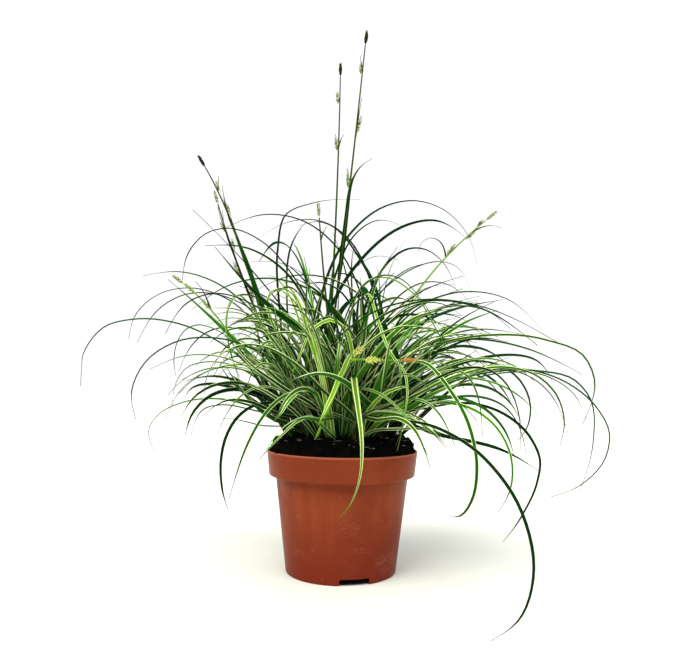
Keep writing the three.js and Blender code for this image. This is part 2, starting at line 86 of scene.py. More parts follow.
# The pot, as in the solids.
POT_HEIGHT = 94 * MM
RIM_RADIUS = 60 * MM
LIP_FOOT = 75 * MM
LIP_FOOT_RADIUS = 58 * MM
SHOULDER_RADIUS = 52.5 * MM
FOOT_RADIUS = 43.5 * MM
WALL = 1.4 * MM
FLOOR = 1.6 * MM
NOTCH = {"count": 3, "width": 23 * MM, "height": 4.8 * MM, "depth": 14 * MM, "facing": -76}
POT_SIDES = 192

# The soil's mound, as in the solids, and the crumbs (sizes in mm, and the share of each) and chips on it.
SOIL_EDGE = 93 * MM
SOIL_CROWN = 12 * MM
SOIL_ROUNDNESS = 14
SOIL_RADIUS = 58 * MM
SOIL_SIDES = 220
SOIL_RINGS = 70
CRUMBS = 1500
CRUMB_SIZES = ([0.5, 0.8, 1.3, 2.1], [0.4, 0.35, 0.18, 0.07])
CHIPS = 170
CHIP_REACH = 56 * MM

# The sheaths, and where a blade may leave its own. Both are measured from the sheath's buried end.
SHEATH_BURIED = 12 * MM
SHEATH_HEIGHT = 16 * MM
ROOT_REACH = (17 * MM, 26 * MM)
ROOT_START = 9 * MM

# The tuft: the share of blades that get a smaller sister (unless they end low), the young blades of each
# shoot, and the small shoots between the others.
SISTER_FLOOR = 110 * MM
SISTER_SHARE = 0.2
YOUNG_PER_SHOOT = 3
YOUNG_LENGTH = (55 * MM, 115 * MM)
YOUNG_BREADTH = (3.2 * MM, 5.2 * MM)
YOUNG_STEPS = 9
TILLERS = 22
BLADES_PER_TILLER = 4
TILLER_REACH = 43 * MM
TILLER_GAP = 5 * MM

# The flowering stems: foot x and y, facing, lean, droop, length, bend, swing (mm and degrees, as in the
# solids); then the spikes (share of the length, length, side) and the bracts (share, length, facing, lean,
# droop, and how broad their sheath is in mm, or 0 where they have none).
CULMS = [
    ((-20, 5, 0, 7, 5, 337, 0.7, 0), [(0.92, 10, 180), (0.77, 15, 0), (0.625, 17, 180)],
     [(0.61, 38, 0, 10, 75, 4.2), (0.76, 34, 0, 8, 8, 0), (0.93, 14, 180, 10, 5, 0)]),
    ((-15, 35, 5, 2, 0, 322, 2.5, 10), [(0.92, 12, 180), (0.785, 15, 180)],
     [(0.8, 12, 0, 15, 40, 0)]),
    ((-40, 15, 180, 16, 32, 247, 3.1, -10), [(0.9, 9, 0), (0.8, 11, 0)],
     [(0.9, 14, 90, 5, 10, 0), (0.8, 28, 150, 20, 10, 2.6)]),
    ((-25, 0, 175, 25, 17, 212, 2.9, 0),
     [(0.88, 10, 180), (0.8, 11, 0), (0.7, 13, 180), (0.58, 14, 0), (0.46, 13, 180)],
     [(0.78, 40, 170, 25, 0, 2.2), (0.86, 26, 190, 25, 10, 1.8)]),
    ((0, -25, 165, 8, 5, 178, 1.7, 35), [], [(0.9, 12, 0, 15, 40, 0)]),
    ((20, 25, 25, 0, 52, 222, 0.8, -42), [(0.96, 8, 180), (0.89, 11, 0), (0.8, 12, 180)],
     [(0.93, 26, 350, 60, 125, 0), (0.79, 42, 150, 10, 200, 0)]),
    ((-40, -5, 180, 30, 54, 157, 2.8, -5), [(0.93, 11, 90), (0.8, 12, 90)],
     [(0.8, 26, 200, 20, 50, 0)]),
    ((-22, -39, 307, 33, 18, 108, 0.9, 46), [(0.77, 11, 270), (0.65, 10, 0)], []),
    ((-35, -25, 175, 34, 30, 88, 1.9, -5), [(0.8, 11, 0)], [(0.78, 20, 180, 20, 30, 0)]),
    ((-35, -10, 185, 30, 10, 93, 1.3, 5), [(0.8, 11, 180)], [(0.78, 24, 0, 10, 20, 0)]),
]
TUFT_FLOOR = 104 * MM
STEM_RADIUS = 1.15 * MM
STEM_TIP_RADIUS = 0.55 * MM
TIP_LENGTH = 13.2 * MM
TIP_RADIUS = 1.2 * MM
GOLDEN_TURN = 2.39996

# The stem that hangs over the front, with its crease (share of the length, degrees) and how far its spikes
# are moved clear of the leaf on it; the lime stems; and how green the tip spikes are that are still green.
HANGING_STEM = 8
HANGING_CREASE = (0.66, 71)
HANGING_SHIFTS = {0: (1.5, -5, 6), 270: (0, -5, 0)}
LIME_STEMS = (6, 7)
GREEN_TIPS = {4: 0.75, 5: 0.9, 6: 0.95, 7: 0.9, 9: 0.7, 10: 0.7}

# The blades that stand out in the middle of the tuft: foot x and y, facing, lean, droop, length, bend, swing
# (as for the stems); the breadth in mm; then margin, lime and fresh.
ACCENTS = [
    # pale ones left of the middle
    ((-12, -40, 148, 17, 90, 154, 3.8, -20), 2.6, (1.2, 0.3, 0.6)),
    ((-11, -21, 161, 7, 86, 148, 2.0, -46), 2.8, (1.2, 0.3, 0.7)),
    # low over the right front
    ((4, -32, 328, 14, 139, 93, 0.6, 2), 2.1, (1.3, 0.0, 0.4)),
    ((12, -40, 338, 63, 101, 62, 0.6, 4), 1.9, (1.2, 0.1, 0.5)),
    ((-20, 24, 301, 28, 134, 190, 0.6, -11), 2.1, (0.5, 0.2, 0.7)),
    # arches left of the middle
    ((9, -40, 165, 12, 54, 113, 2.0, 8), 2.1, (1.3, 0.0, 0.3)),
    ((-4, -33, 154, -3, 72, 102, 1.7, 26), 1.9, (1.1, 0.0, 0.4)),
    # dark ones that stand up in the middle
    ((-4, -40, 112, 20, 32, 165, 0.6, -35), 1.8, (0.0, 0.0, 0.1)),
    ((4, -40, 112, 31, 16, 144, 3.8, -34), 1.7, (0.0, 0.0, 0.1)),
    ((6, 0, 120, -11, 62, 185, 1.3, -41), 1.8, (0.0, 0.0, 0.1)),
    ((4, -40, 44, 21, 41, 171, 0.6, 59), 1.8, (0.2, 0.0, 0.3)),
    ((-8, -40, 127, 15, 86, 216, 2.2, -26), 2.3, (0.2, 0.1, 0.5)),
    ((40, 0, 141, 4, 63, 166, 3.2, 7), 1.9, (0.0, 0.0, 0.1)),
    ((17, -11, 134, 6, 33, 173, 2.1, -2), 1.7, (0.0, 0.0, 0.0)),
    # broad and dark on the left
    ((-11, -21, 190, 44, 58, 96, 1.0, 2), 3.1, (0.5, 0.0, 0.3)),
    ((-32, -8, 209, 59, 27, 82, 3.5, -28), 2.7, (0.2, 0.0, 0.2)),
]

# And those that turn too freely for such a row: the breadth, margin, lime and fresh, then the path in mm.
FREE_BLADES = [
    # the lime bundle left of the middle, folded over at its top
    (3.3, (1.2, 0.5, 0.9), [
        (-9, -40, 104), (-10, -44, 114), (-14, -52, 139), (-18, -56, 159), (-23, -60, 174), (-27, -62, 186),
        (-31, -63, 200), (-33, -63, 205), (-38, -60, 213), (-45, -55, 221),
    ]),
    (3.2, (1.1, 0.6, 0.9), [
        (-6, -40, 104), (-9, -46, 124), (-13, -52, 142), (-18, -57, 164), (-22, -60, 179), (-26, -61, 189),
    ]),
    # green ones beside it
    (3.0, (1.1, 0.0, 0.6), [
        (0, -38, 106), (0, -42, 138), (-2, -44, 154), (-4, -45, 159), (-8, -47, 168), (-14, -49, 178),
        (-20, -50, 187), (-27, -50, 193),
    ]),
    (3.6, (0.8, 0.0, 0.35), [
        (-3, -36, 105), (-5, -40, 135), (-6, -42, 147), (-8, -43, 155), (-11, -45, 163), (-19, -46, 174),
        (-27, -46, 182),
    ]),
    (2.6, (0.8, 0.1, 0.8), [
        (-11, -34, 106), (-14, -37, 142), (-20, -39, 184), (-22, -39, 193), (-24, -38, 204),
        (-26, -36, 215), (-28, -34, 226), (-32, -28, 244),
    ]),
    # the low arch over the left front, and the leaf that hangs from the front stem
    (3.6, (1.2, 0.15, 0.8), [
        (-12, -39, 108), (-14, -45, 125), (-18, -50, 135), (-21, -53, 141), (-25, -56, 143),
        (-29, -59, 142), (-34, -63, 139), (-39, -67, 133), (-43, -70, 126), (-48, -72, 120),
    ]),
    (3.6, (1.3, 0.75, 1.0), [
        (5, -61, 168), (3, -63, 165), (1, -66, 159), (-4, -69, 149), (-7, -71, 140), (-10, -72, 134),
        (-13, -73, 127), (-17, -74, 118),
    ]),
    # the fan right of the middle
    (4.6, (0.5, 0.05, 0.7), [
        (15, -38, 107), (15, -42, 124), (21, -45, 136), (28, -47, 151), (33, -47, 163), (39, -46, 174),
        (45, -44, 183), (55, -40, 194), (64, -34, 205),
    ]),
    (3.4, (1.2, 0.5, 0.9), [
        (15, -42, 108), (17, -47, 124), (23, -52, 133), (30, -56, 140), (36, -59, 143), (42, -61, 145),
        (48, -62, 145),
    ]),
    (2.7, (1.1, 0.0, 0.25), [
        (11, -42, 108), (15, -48, 120), (18, -52, 124), (25, -57, 127), (33, -61, 127), (39, -65, 126),
        (46, -69, 125), (53, -72, 121), (58, -75, 117), (63, -77, 113), (70, -80, 105),
    ]),
    (2.1, (1.0, 0.0, 0.3), [
        (10, -44, 104), (16, -50, 110), (25, -56, 114), (36, -62, 115), (48, -68, 116), (59, -72, 116),
        (71, -76, 113),
    ]),
    (3.8, (0.9, 0.35, 0.8), [
        (16, -36, 104), (22, -39, 114), (31, -42, 122), (46, -44, 133), (56, -44, 140), (65, -43, 145),
        (74, -42, 148),
    ]),
    (4.0, (0.8, 0.1, 0.6), [
        (19, -34, 104), (28, -38, 116), (39, -40, 123), (51, -42, 130), (65, -42, 139), (78, -41, 145),
        (90, -40, 149),
    ]),
    (4.0, (0.7, 0.0, 0.35), [
        (13, -36, 104), (22, -40, 124), (35, -42, 138), (50, -42, 152), (63, -40, 161), (78, -38, 167),
    ]),
    (4.2, (0.6, 0.0, 0.3), [
        (11, -36, 104), (17, -40, 128), (27, -42, 147), (39, -42, 162), (51, -40, 176), (65, -36, 187),
    ]),
    (4.0, (0.6, 0.0, 0.3), [
        (0, -40, 105), (2, -43, 118), (5, -44, 130), (7, -45, 141), (9, -45, 156), (11, -43, 172),
        (11, -40, 186),
    ]),
    (4.0, (0.9, 0.1, 0.5), [
        (3, -38, 105), (5, -41, 120), (6, -42, 135), (9, -42, 151), (14, -40, 171), (21, -36, 188),
    ]),
    # and the fan left of it
    (3.4, (1.2, 0.0, 0.1), [
        (-7, -38, 105), (-13, -42, 120), (-20, -45, 129), (-29, -47, 135), (-39, -48, 140), (-53, -48, 149),
        (-65, -47, 157), (-77, -45, 168), (-87, -42, 180),
    ]),
    (3.0, (1.2, 0.0, 0.15), [
        (-18, -40, 104), (-27, -45, 117), (-38, -49, 128), (-48, -51, 135), (-56, -52, 140),
        (-65, -52, 144), (-76, -51, 147),
    ]),
    (3.8, (1.0, 0.0, 0.4), [
        (-11, -36, 104), (-21, -40, 133), (-32, -42, 150), (-45, -42, 167), (-57, -40, 183),
        (-69, -36, 195),
    ]),
    (3.6, (1.1, 0.0, 0.3), [
        (-15, -36, 104), (-26, -40, 125), (-38, -42, 140), (-50, -42, 150), (-64, -40, 162),
        (-79, -36, 171),
    ]),
    # over the middle and down to the left
    (3.2, (1.2, 0.6, 0.9), [
        (6, -32, 104), (7, -36, 138), (6, -41, 172), (1, -44, 187), (-10, -48, 194), (-19, -51, 190),
        (-26, -53, 182), (-31, -56, 169), (-40, -58, 146),
    ]),
    (2.4, (1.3, 0.12, 0.8), [
        (-18, -12, 104), (-29, -20, 130), (-42, -40, 171), (-55, -48, 195), (-57, -51, 206),
        (-55, -53, 213), (-50, -56, 215), (-41, -60, 210), (-33, -64, 201),
    ]),
    # folded high up, and pale where it hangs over the right front
    (2.3, (0.8, 0.35, 0.8), [
        (14, -6, 104), (15, -12, 150), (14, -18, 189), (14, -26, 215), (17, -34, 216), (25, -52, 193),
        (34, -72, 167), (42, -78, 156), (44, -81, 143), (42, -84, 126), (37, -87, 103),
    ]),
    # low over the left front
    (3.0, (1.1, 0.1, 0.9), [
        (-2, -36, 104), (-6, -42, 107), (-14, -50, 115), (-24, -58, 123), (-32, -63, 120), (-41, -67, 112),
        (-57, -72, 94),
    ]),
    # the high dark arch, and the green one right of it
    (1.9, (0.0, 0.0, 0.0), [
        (34, -4, 104), (36, 0, 138), (35, 8, 179), (26, 18, 226), (10, 26, 258), (-1, 30, 274),
        (-10, 33, 283), (-25, 37, 289), (-41, 42, 286),
    ]),
    (1.8, (0.5, 0.1, 0.4), [
        (4, -8, 104), (5, -15, 150), (5, -28, 200), (10, -33, 217), (19, -39, 226), (30, -45, 227),
        (49, -55, 215), (67, -64, 185), (81, -70, 155),
    ]),
    # beside the third stem, and the one that hangs left of it
    (4.2, (0.4, 0.0, 0.12), [
        (-26, -10, 104), (-32, -14, 129), (-54, -20, 180), (-69, -25, 218), (-77, -27, 240),
        (-84, -28, 257), (-90, -29, 275),
    ]),
    (1.6, (0.6, 0.2, 0.6), [
        (-24, -10, 104), (-32, -15, 135), (-58, -35, 183), (-72, -48, 206), (-78, -54, 211),
        (-84, -60, 200), (-85, -63, 188), (-80, -67, 168), (-73, -70, 147),
    ]),
]

# The bold blades of the outline, by where their tips hang (mm, found within TIP_MATCH): their breadth in mm,
# then margin and fresh.
TIP_MATCH = 4 * MM
BOLD = {
    (84, -152, 4): (2.3, 0.3, 0.0),
    (155, -6, 80): (3.0, 0.2, 0.0),
    (-80, -60, 57): (2.6, 0.3, 0.0),
    (-162, 131, 119): (2.9, 0.2, 0.0),
    (114, 88, 290): (3.0, 0.0, 0.0),
    (-136, 38, 147): (2.7, 0.3, 0.0),
    (-120, -37, 121): (3.0, 0.6, 0.05),
    (-90, -101, 125): (2.6, 0.6, 0.05),
    (154, 36, 116): (2.8, 0.5, 0.15),
    (-116, -41, 107): (3.5, 0.6, 0.0),
    (205, 105, 149): (2.6, 0.3, 0.1),
    (100, -159, 111): (2.0, 0.5, 0.0),
    (116, -138, 172): (1.8, 0.5, 0.1),
    (-137, -27, 225): (3.4, 0.6, 0.6),
    (-111, -18, 254): (2.3, 0.3, 0.1),
    (197, 170, 52): (2.4, 0.3, 0.3),
    (-133, 42, 210): (2.0, 0.5, 0.2),
    (147, 24, 100): (2.2, 0.5, 0.1),
    (232, 100, 158): (2.3, 0.3, 0.3),
    (116, -33, 212): (2.0, 0.3, 0.1),
    (71, -93, 60): (3.1, 1.2, 0.4),
    (-62, -161, 82): (2.7, 0.8, 0.4),
    (129, 1, 23): (2.6, 0.2, 0.0),
    (11, 13, 302): (1.8, 0.0, 0.0),
    (-92, 108, 284): (1.6, 0.0, 0.0),
    (-209, -12, 142): (1.4, 0.3, 0.2),
    (-136, -97, 122): (1.3, 0.3, 0.1),
    (119, -174, 170): (1.3, 0.3, 0.1),
    (-34, -169, 148): (1.4, 0.5, 0.3),
    (64, -137, 169): (1.4, 0.5, 0.4),
    (-96, -20, 179): (2.2, 1.0, 0.2),
    (160, -22, 62): (1.4, 0.3, 0.2),
    (222, 63, 110): (1.4, 0.3, 0.3),
    (180, -32, 69): (1.5, 0.3, 0.2),
    (134, 158, 245): (1.2, 0.0, 0.2),
    (72, -22, 243): (1.3, 0.0, 0.3),
    (-176, 34, 237): (1.6, 0.3, 0.2),
}


# ---- meshes ----


class Body:
    """Collects closed lofts into one mesh. `place` and `tint` are what the materials read at each corner."""

    def __init__(self):
        self.corners, self.faces, self.place, self.tint = [], [], [], []
        self.count = 0

    def add(self, corners, faces, place, tint):
        self.corners.append(corners)
        self.faces += [[int(v) + self.count for v in face] for face in faces]
        self.place.append(np.broadcast_to(place, corners.shape))
        self.tint.append(np.broadcast_to(tint, corners.shape))
        self.count += len(corners)

    def loft(self, rings, place, tint, pointed=True):
        """A body through rings of as many corners each, wound anticlockwise as seen from its far end."""
        stations, sides, _ = rings.shape
        corners = rings.reshape(-1, 3)
        place = np.broadcast_to(place, rings.shape).reshape(-1, 3)
        tint = np.broadcast_to(tint, rings.shape).reshape(-1, 3)
        start = np.arange(stations - 1)[:, None] * sides
        here, after = np.arange(sides), (np.arange(sides) + 1) % sides
        walls = np.stack([start + here, start + after, start + after + sides, start + here + sides], -1)
        faces = list(walls.reshape(-1, 4)) + [here[::-1]]
        last = (stations - 1) * sides
        if pointed:
            tip = 2 * rings[-1].mean(0) - rings[-2].mean(0)
            corners = np.vstack([corners, tip * 0.4 + rings[-1].mean(0) * 0.6])
            place = np.vstack([place, place[-1]])
            tint = np.vstack([tint, tint[-1]])
            faces += [(last + k, last + (k + 1) % sides, len(corners) - 1) for k in range(sides)]
        else:
            faces.append(last + here)
        self.add(corners, faces, place, tint)

    def mesh(self, name, material, smooth=True):
        mesh = bpy.data.meshes.new(name)
        mesh.from_pydata(np.vstack(self.corners).tolist(), [], self.faces)
        for key, values in (("place", self.place), ("tint", self.tint)):
            attribute = mesh.attributes.new(key, "FLOAT_VECTOR", "POINT")
            attribute.data.foreach_set("vector", np.vstack(values).astype(np.float32).ravel())
        if smooth:
            mesh.shade_smooth()
        return dressed(name, mesh, material)


def register(piece, slot, *nodes):
    """Makes the piece move with the plant's one body and stand for these nodes, which it hides. The slot is
    not used.
    """
    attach(piece, BODY)
    if nodes:
        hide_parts(*nodes)


def placed(name, data):
    """A new object of the scene."""
    piece = bpy.data.objects.new(name, data)
    bpy.context.scene.collection.objects.link(piece)
    return piece


def dressed(name, mesh, material):
    """The mesh as an object of the scene, in a material."""
    mesh.materials.append(material)
    return placed(name, mesh)


def as_mesh(name, bm):
    """What was built, as a mesh."""
    mesh = bpy.data.meshes.new(name)
    bm.to_mesh(mesh)
    bm.free()
    return mesh


def unit(vectors):
    return vectors / np.maximum(np.linalg.norm(vectors, axis=-1, keepdims=True), 1e-12)


def around(count):
    """As many equal turns round a ring, in radians."""
    return np.arange(count) * math.tau / count


def spokes(turns, side, upper):
    """The ways out from a ring's middle, at its turns from one side towards another."""
    return np.cos(turns)[:, None] * side + np.sin(turns)[:, None] * upper


def spread(*values):
    """Numbers for each corner of a body's rings, side by side."""
    return np.stack(np.broadcast_arrays(*values), -1)


def heading(degrees):
    """The level direction that lies so many degrees from +X."""
    turn = math.radians(degrees)
    return np.array([math.cos(turn), math.sin(turn), 0.0])


def spline(knots, values, at):
    """A smooth curve through the values at the knots, each slope being taken from both neighbours."""
    step = np.diff(knots)[:, None]
    slope = np.diff(values, axis=0) / step
    bend = np.empty_like(values)
    bend[1:-1] = (slope[:-1] * step[1:] + slope[1:] * step[:-1]) / (step[:-1] + step[1:])
    bend[0] = (3 * slope[0] - bend[1]) / 2
    bend[-1] = (3 * slope[-1] - bend[-2]) / 2
    k = np.clip(np.searchsorted(knots, at, side="right") - 1, 0, len(knots) - 2)
    t = ((at - knots[k]) / step[k, 0])[:, None]
    curve = (2 * t**3 - 3 * t**2 + 1) * values[k] + (t**3 - 2 * t**2 + t) * step[k] * bend[k]
    return curve + (3 * t**2 - 2 * t**3) * values[k + 1] + (t**3 - t**2) * step[k] * bend[k + 1]


def walk(start, facing, lean, droop, length, bend, swing, crease=(0, 0), steps=60):
    """A path whose lean goes from `lean` to `droop`, faster towards its tip, and which swings sideways. A
    crease folds it down by so many degrees at a share of its length. Gives the points, and the ways ahead
    and sideways at each."""
    at, by = crease
    share = np.linspace(0, 1, steps + 1)
    fold = np.clip((share - at + 0.08) / 0.16, 0, 1)
    tilt = np.radians(lean + (droop - lean) * share**bend + by * fold**2 * (3 - 2 * fold))
    turn = np.radians(facing + swing * share)
    ahead = np.stack([np.sin(tilt) * np.cos(turn), np.sin(tilt) * np.sin(turn), np.cos(tilt)], -1)
    points = start + np.vstack([[0, 0, 0], np.cumsum(ahead[:-1], axis=0)]) * length / steps
    side = np.stack([-np.sin(turn), np.cos(turn), 0 * turn], -1)
    return points, ahead, side


# ---- what the frame holds ----


def welded(node):
    """A CAD node's corners, each once, and which corners each is joined to."""
    mesh = frame["nodes"][node].data
    corners = np.array([v.co for v in mesh.vertices])
    corners, index = np.unique(corners.round(7), axis=0, return_inverse=True)
    index = index.reshape(-1)
    near = [set() for _ in corners]
    for polygon in mesh.polygons:
        face = {int(index[v]) for v in polygon.vertices}
        for corner in face:
            near[corner] |= face - {corner}
    return corners, near


def is_ring(ring, near):
    return len(ring) == 3 and all(len(near[corner] & ring) == 2 for corner in ring)


def ring_chains(corners, near):
    """For each blade: its tip, and its rings of three corners back to where it meets its neighbours."""
    for tip, ring in enumerate(near):
        if not is_ring(ring, near):
            continue
        points = corners[sorted(ring)]
        size = max(np.linalg.norm(points - np.roll(points, 1, axis=0), axis=1))
        if np.linalg.norm(points.mean(0) - corners[tip]) < 2.5 * size:
            continue
        chain, seen = [ring], {tip} | ring
        while True:
            behind = set().union(*(near[corner] for corner in chain[-1])) - seen
            if not is_ring(behind, near):
                break
            chain.append(behind)
            seen |= behind
        yield corners[tip], [corners[sorted(ring)] for ring in chain]


def measured(ring):
    """A ring's middle, its width and the way that its keel points away from."""
    edges = [np.linalg.norm(ring[(k + 1) % 3] - ring[(k + 2) % 3]) for k in range(3)]
    keel = int(np.argmax(edges))
    middle = (ring[(keel + 1) % 3] + ring[(keel + 2) % 3]) / 2
    return middle, edges[keel], unit(middle - ring[keel])


def shoot_axis(corners):
    """The middle of a sheath's buried end, and the way that the sheath points."""
    inside = corners[np.hypot(corners[:, 0], corners[:, 1]) < SHOULDER_RADIUS]
    foot = inside[np.argsort(inside[:, 2])[:5]]
    middle = foot.mean(0)
    up = np.linalg.svd(foot - middle)[2][2]
    return middle, up * np.sign(up[2])


def blades_of(node):
    """The blades of a shoot, each as points from root to tip, with the width and the upper side at each."""
    corners, near = welded(node)
    foot, axis = shoot_axis(corners)
    for tip, chain in ring_chains(corners, near):
        rings = [measured(ring) for ring in reversed(chain)]
        middles = np.array([ring[0] for ring in rings])
        ahead = unit((middles[1] if len(middles) > 1 else tip) - middles[0])
        off = np.cross(ahead, np.cross(axis, ahead))
        reach = np.dot(middles[0] - foot, off) / np.dot(axis, off)
        root = foot + axis * np.clip(reach, *ROOT_REACH)
        out = unit(off * np.sign(np.dot(off, middles[0] - foot)))
        ground = foot + axis * ROOT_START + out * 1.2 * MM
        points = np.vstack([ground, root + out * 0.5 * MM, middles, tip])
        widths = np.array([rings[0][1] * 0.9] * 2 + [ring[1] for ring in rings] + [0.0])
        uppers = np.array([-out, rings[0][2]] + [ring[2] for ring in rings] + [rings[-1][2]])
        yield points, widths, uppers


# ---- blades ----

# The section of a blade from its right margin over the top to its left one and back below: how far across,
# and how thick it is there, in shares of its half width and of its thickness.
ACROSS = np.array([1, 0.72, 0.36, 0, -0.36, -0.72, -1, -0.6, 0, 0.6])
BELOW = np.array([0, 0, 0, 0, 0, 0, 0, 0.8, 1, 0.8])
CHANNEL = 0.42
THICKNESS = 0.32 * MM
NARROWEST = 0.22 * MM
MARGIN = 0.5 * MM
MARGIN_FADE = (0.35 * MM, 0.85 * MM)
STATION_STEP = 6 * MM
STATIONS = (9, 44)
BOX_ROOM = 2 * MM

# Curves: where along the blade, in shares, and how broad it is there. FINENESS goes by the breadth of the
# solid's blade, and the pair after it is where a blade starts and ends to lose its colours towards its tip,
# as painted shade on its outer, arching part.
TAPER = ([0, 0.3, 0.65, 1], [1.3, 1.15, 1.0, 1.25])
FINENESS = ([1.7 * MM, 2.2 * MM, 2.8 * MM, 3.5 * MM], [0.85, 1.0, 1.25, 1.4])
OUTER_SHADE_REACH = (80 * MM, 190 * MM)
HANGING_TAPER = ([0, 0.4, 0.8, 1], [1.4, 1.3, 0.85, 0.8])
ACCENT_TAPER = ([0, 0.1, 0.45, 0.8, 1], [0.7, 0.9, 1, 0.7, 0.1])
YOUNG_TAPER = ([0, 0.12, 0.45, 0.75, 1], [0.6, 0.85, 1, 0.65, 0])

FRONT = np.array([0.0, -1.0, 0.35])


def held_in(path, room):
    """Moves what lies further out to this far inside the sides of the solids' own box."""
    low, high = (np.array(corner[:2]) for corner in cad_box)
    path[..., :2] = np.clip(path[..., :2], low + room, high - room)


def grow(body, points, widths, uppers, tint, roll=0.0, twist=0.0, wave=0.0, clear=0.0):
    """A fine blade along a path: channelled along its midrib, rolled over to one side in its lower half,
    twisted towards its tip and drawn out to a hair. `tint` is as tint_of gives it, `wave` is how far the
    blade sways, and `clear` is how far its root already stands clear of the painted shade at the tuft's
    foot."""
    gone = np.concatenate([[0], np.cumsum(np.linalg.norm(np.diff(points, axis=0), axis=1))])
    length = gone[-1]
    count = int(np.clip(length / STATION_STEP, *STATIONS))
    share = 1 - (1 - np.linspace(0, 1, count + 1)) ** 1.15
    at = share * length
    path = spline(gone, points, at)
    path += wave * np.sin(at / length * math.tau * 1.5)[:, None] * unit(uppers[1])
    held_in(path, BOX_ROOM)
    ahead = unit(np.gradient(path, at, axis=0))
    upper = spline(gone, uppers, at)
    side = unit(np.cross(upper, ahead))
    upper = np.cross(ahead, side)
    turned = np.clip((share - 0.03) / 0.35, 0, 1)
    turn = (roll * (0.35 + 0.65 * turned**2 * (3 - 2 * turned)) + twist * share**1.5)[:, None]
    side, upper = side * np.cos(turn) + upper * np.sin(turn), upper * np.cos(turn) - side * np.sin(turn)
    half = np.maximum(np.interp(at, gone, widths) / 2, NARROWEST)[:, None]
    thick = np.minimum(THICKNESS, 0.5 * half)
    rise = CHANNEL * half * (np.abs(ACROSS) ** 1.4 - 1) * (1 - 0.5 * share[:, None]) - thick * BELOW
    rings = path[:, None] + (half * ACROSS)[..., None] * side[:, None] + rise[..., None] * upper[:, None]
    held_in(rings, 0)
    margin = np.clip(tint[0] * MARGIN / half, 0, 0.5) * np.interp(half, MARGIN_FADE, (0, 1))
    # Painted shade: towards its tip, the blade loses its margin, lime and fresh green.
    unshaded = 1 - tint[3] * np.interp(at, OUTER_SHADE_REACH, (0, 1))[:, None]
    colours = spread(margin * unshaded, tint[1] * unshaded, tint[2] * unshaded + 0 * ACROSS)
    # The third number of `place` runs from the root, moved on by `clear`, for the painted shade at the
    # tuft's foot.
    body.loft(rings, spread(ACROSS[None], share[:, None], at[:, None] + clear), colours)


# ---- materials ----


class Graph:
    """The node tree of a material or a world, written as nested calls."""

    def __init__(self, owner):
        self.owner = owner
        owner.use_nodes = True
        self.tree = owner.node_tree
        self.tree.nodes.clear()

    def node(self, kind, inputs=None, output=0, **settings):
        made = self.tree.nodes.new("ShaderNode" + kind)
        for key, value in settings.items():
            setattr(made, key, value)
        for key, value in (inputs or {}).items():
            if isinstance(value, bpy.types.NodeSocket):
                self.tree.links.new(value, made.inputs[key])
            else:
                made.inputs[key].default_value = value
        return made.outputs[output] if made.outputs else None

    def maths(self, operation, *values, clamp=False):
        return self.node("Math", dict(enumerate(values)), operation=operation, use_clamp=clamp)

    def mix(self, share, low, high, blend="MIX"):
        low, high = (c if isinstance(c, bpy.types.NodeSocket) else (*c, 1) for c in (low, high))
        inputs = {0: share, 6: low, 7: high}
        return self.node("Mix", inputs, output=2, data_type="RGBA", blend_type=blend)

    def between(self, value, low, high, to_low=0.0, to_high=1.0, smooth=True):
        """The value's place from low to high, as a number from to_low to to_high."""
        inputs = {0: value, 1: low, 2: high, 3: to_low, 4: to_high}
        return self.node("MapRange", inputs, interpolation_type="SMOOTHSTEP" if smooth else "LINEAR")

    def noise(self, where, scale, detail=3.0, stretch=(1, 1, 1)):
        where = self.node("VectorMath", {0: where, 1: stretch}, operation="MULTIPLY")
        return self.node("TexNoise", {"Vector": where, "Scale": scale, "Detail": detail})

    def read(self, name):
        """The three numbers that a mesh holds under a name: all in one, then one by one."""
        vector = self.node("Attribute", output=1, attribute_name=name)
        split = self.tree.nodes.new("ShaderNodeSeparateXYZ")
        self.tree.links.new(vector, split.inputs[0])
        return vector, *split.outputs

    def where(self):
        """A place on the piece, in metres."""
        return self.node("TexCoord", output="Object")

    def height(self, where):
        return self.node("SeparateXYZ", {0: where}, output=2)

    def layers(self, colour, *layers):
        """A colour with others laid over it, each by its share."""
        for share, over in layers:
            colour = self.mix(share, colour, over)
        return colour

    def surface(self, colour, roughness, height=None, relief=0.1 * MM, gloss=0.5, ior=1.5):
        inputs = {"Base Color": colour, "Roughness": roughness, "Specular IOR Level": gloss, "IOR": ior}
        if height is not None:
            inputs["Normal"] = self.node("Bump", {"Height": height, "Distance": relief, "Strength": 1.0})
        self.node("OutputMaterial", {0: self.node("BsdfPrincipled", inputs)})
        return self.owner

    def scratches(self, where):
        """How scratched a place is: thin slanting lines, here and there low on the side."""
        slant = {"Vector": where, "Angle": math.radians(25)}
        turned = self.node("VectorRotate", slant, rotation_type="Y_AXIS")
        lines = self.noise(turned, 60.0, detail=4.0, stretch=(1, 1, 22))
        thin = self.between(self.maths("ABSOLUTE", self.maths("SUBTRACT", lines, 0.5)), 0.0, 0.014, 1.0, 0.0)
        patches = self.between(self.noise(where, 34.0, detail=2.0), 0.55, 0.66)
        low = self.between(self.height(where), 25 * MM, 60 * MM, 0.75, 0.1)
        return self.maths("MULTIPLY", self.maths("MULTIPLY", thin, patches), low)


def material_graph(name):
    return Graph(bpy.data.materials.new(name))


DEEP_GREEN = (0.0012, 0.0190, 0.0022)
FRESH_GREEN = (0.032, 0.245, 0.008)
LIME_GREEN = (0.210, 0.370, 0.008)
PALE_LIME = (0.640, 0.820, 0.190)
CREAM = (0.780, 0.900, 0.430)
STRAW = (0.090, 0.070, 0.025)
STREAK = (1.9, 2.1, 1.4)
# Painted shade at the tuft's foot: the colour that dims the blades there, and the length from the root over
# which it fades out.
FOOT_PAINTED_SHADE = (0.10, 0.135, 0.09)
FOOT_SHADE_REACH = (16 * MM, 105 * MM)


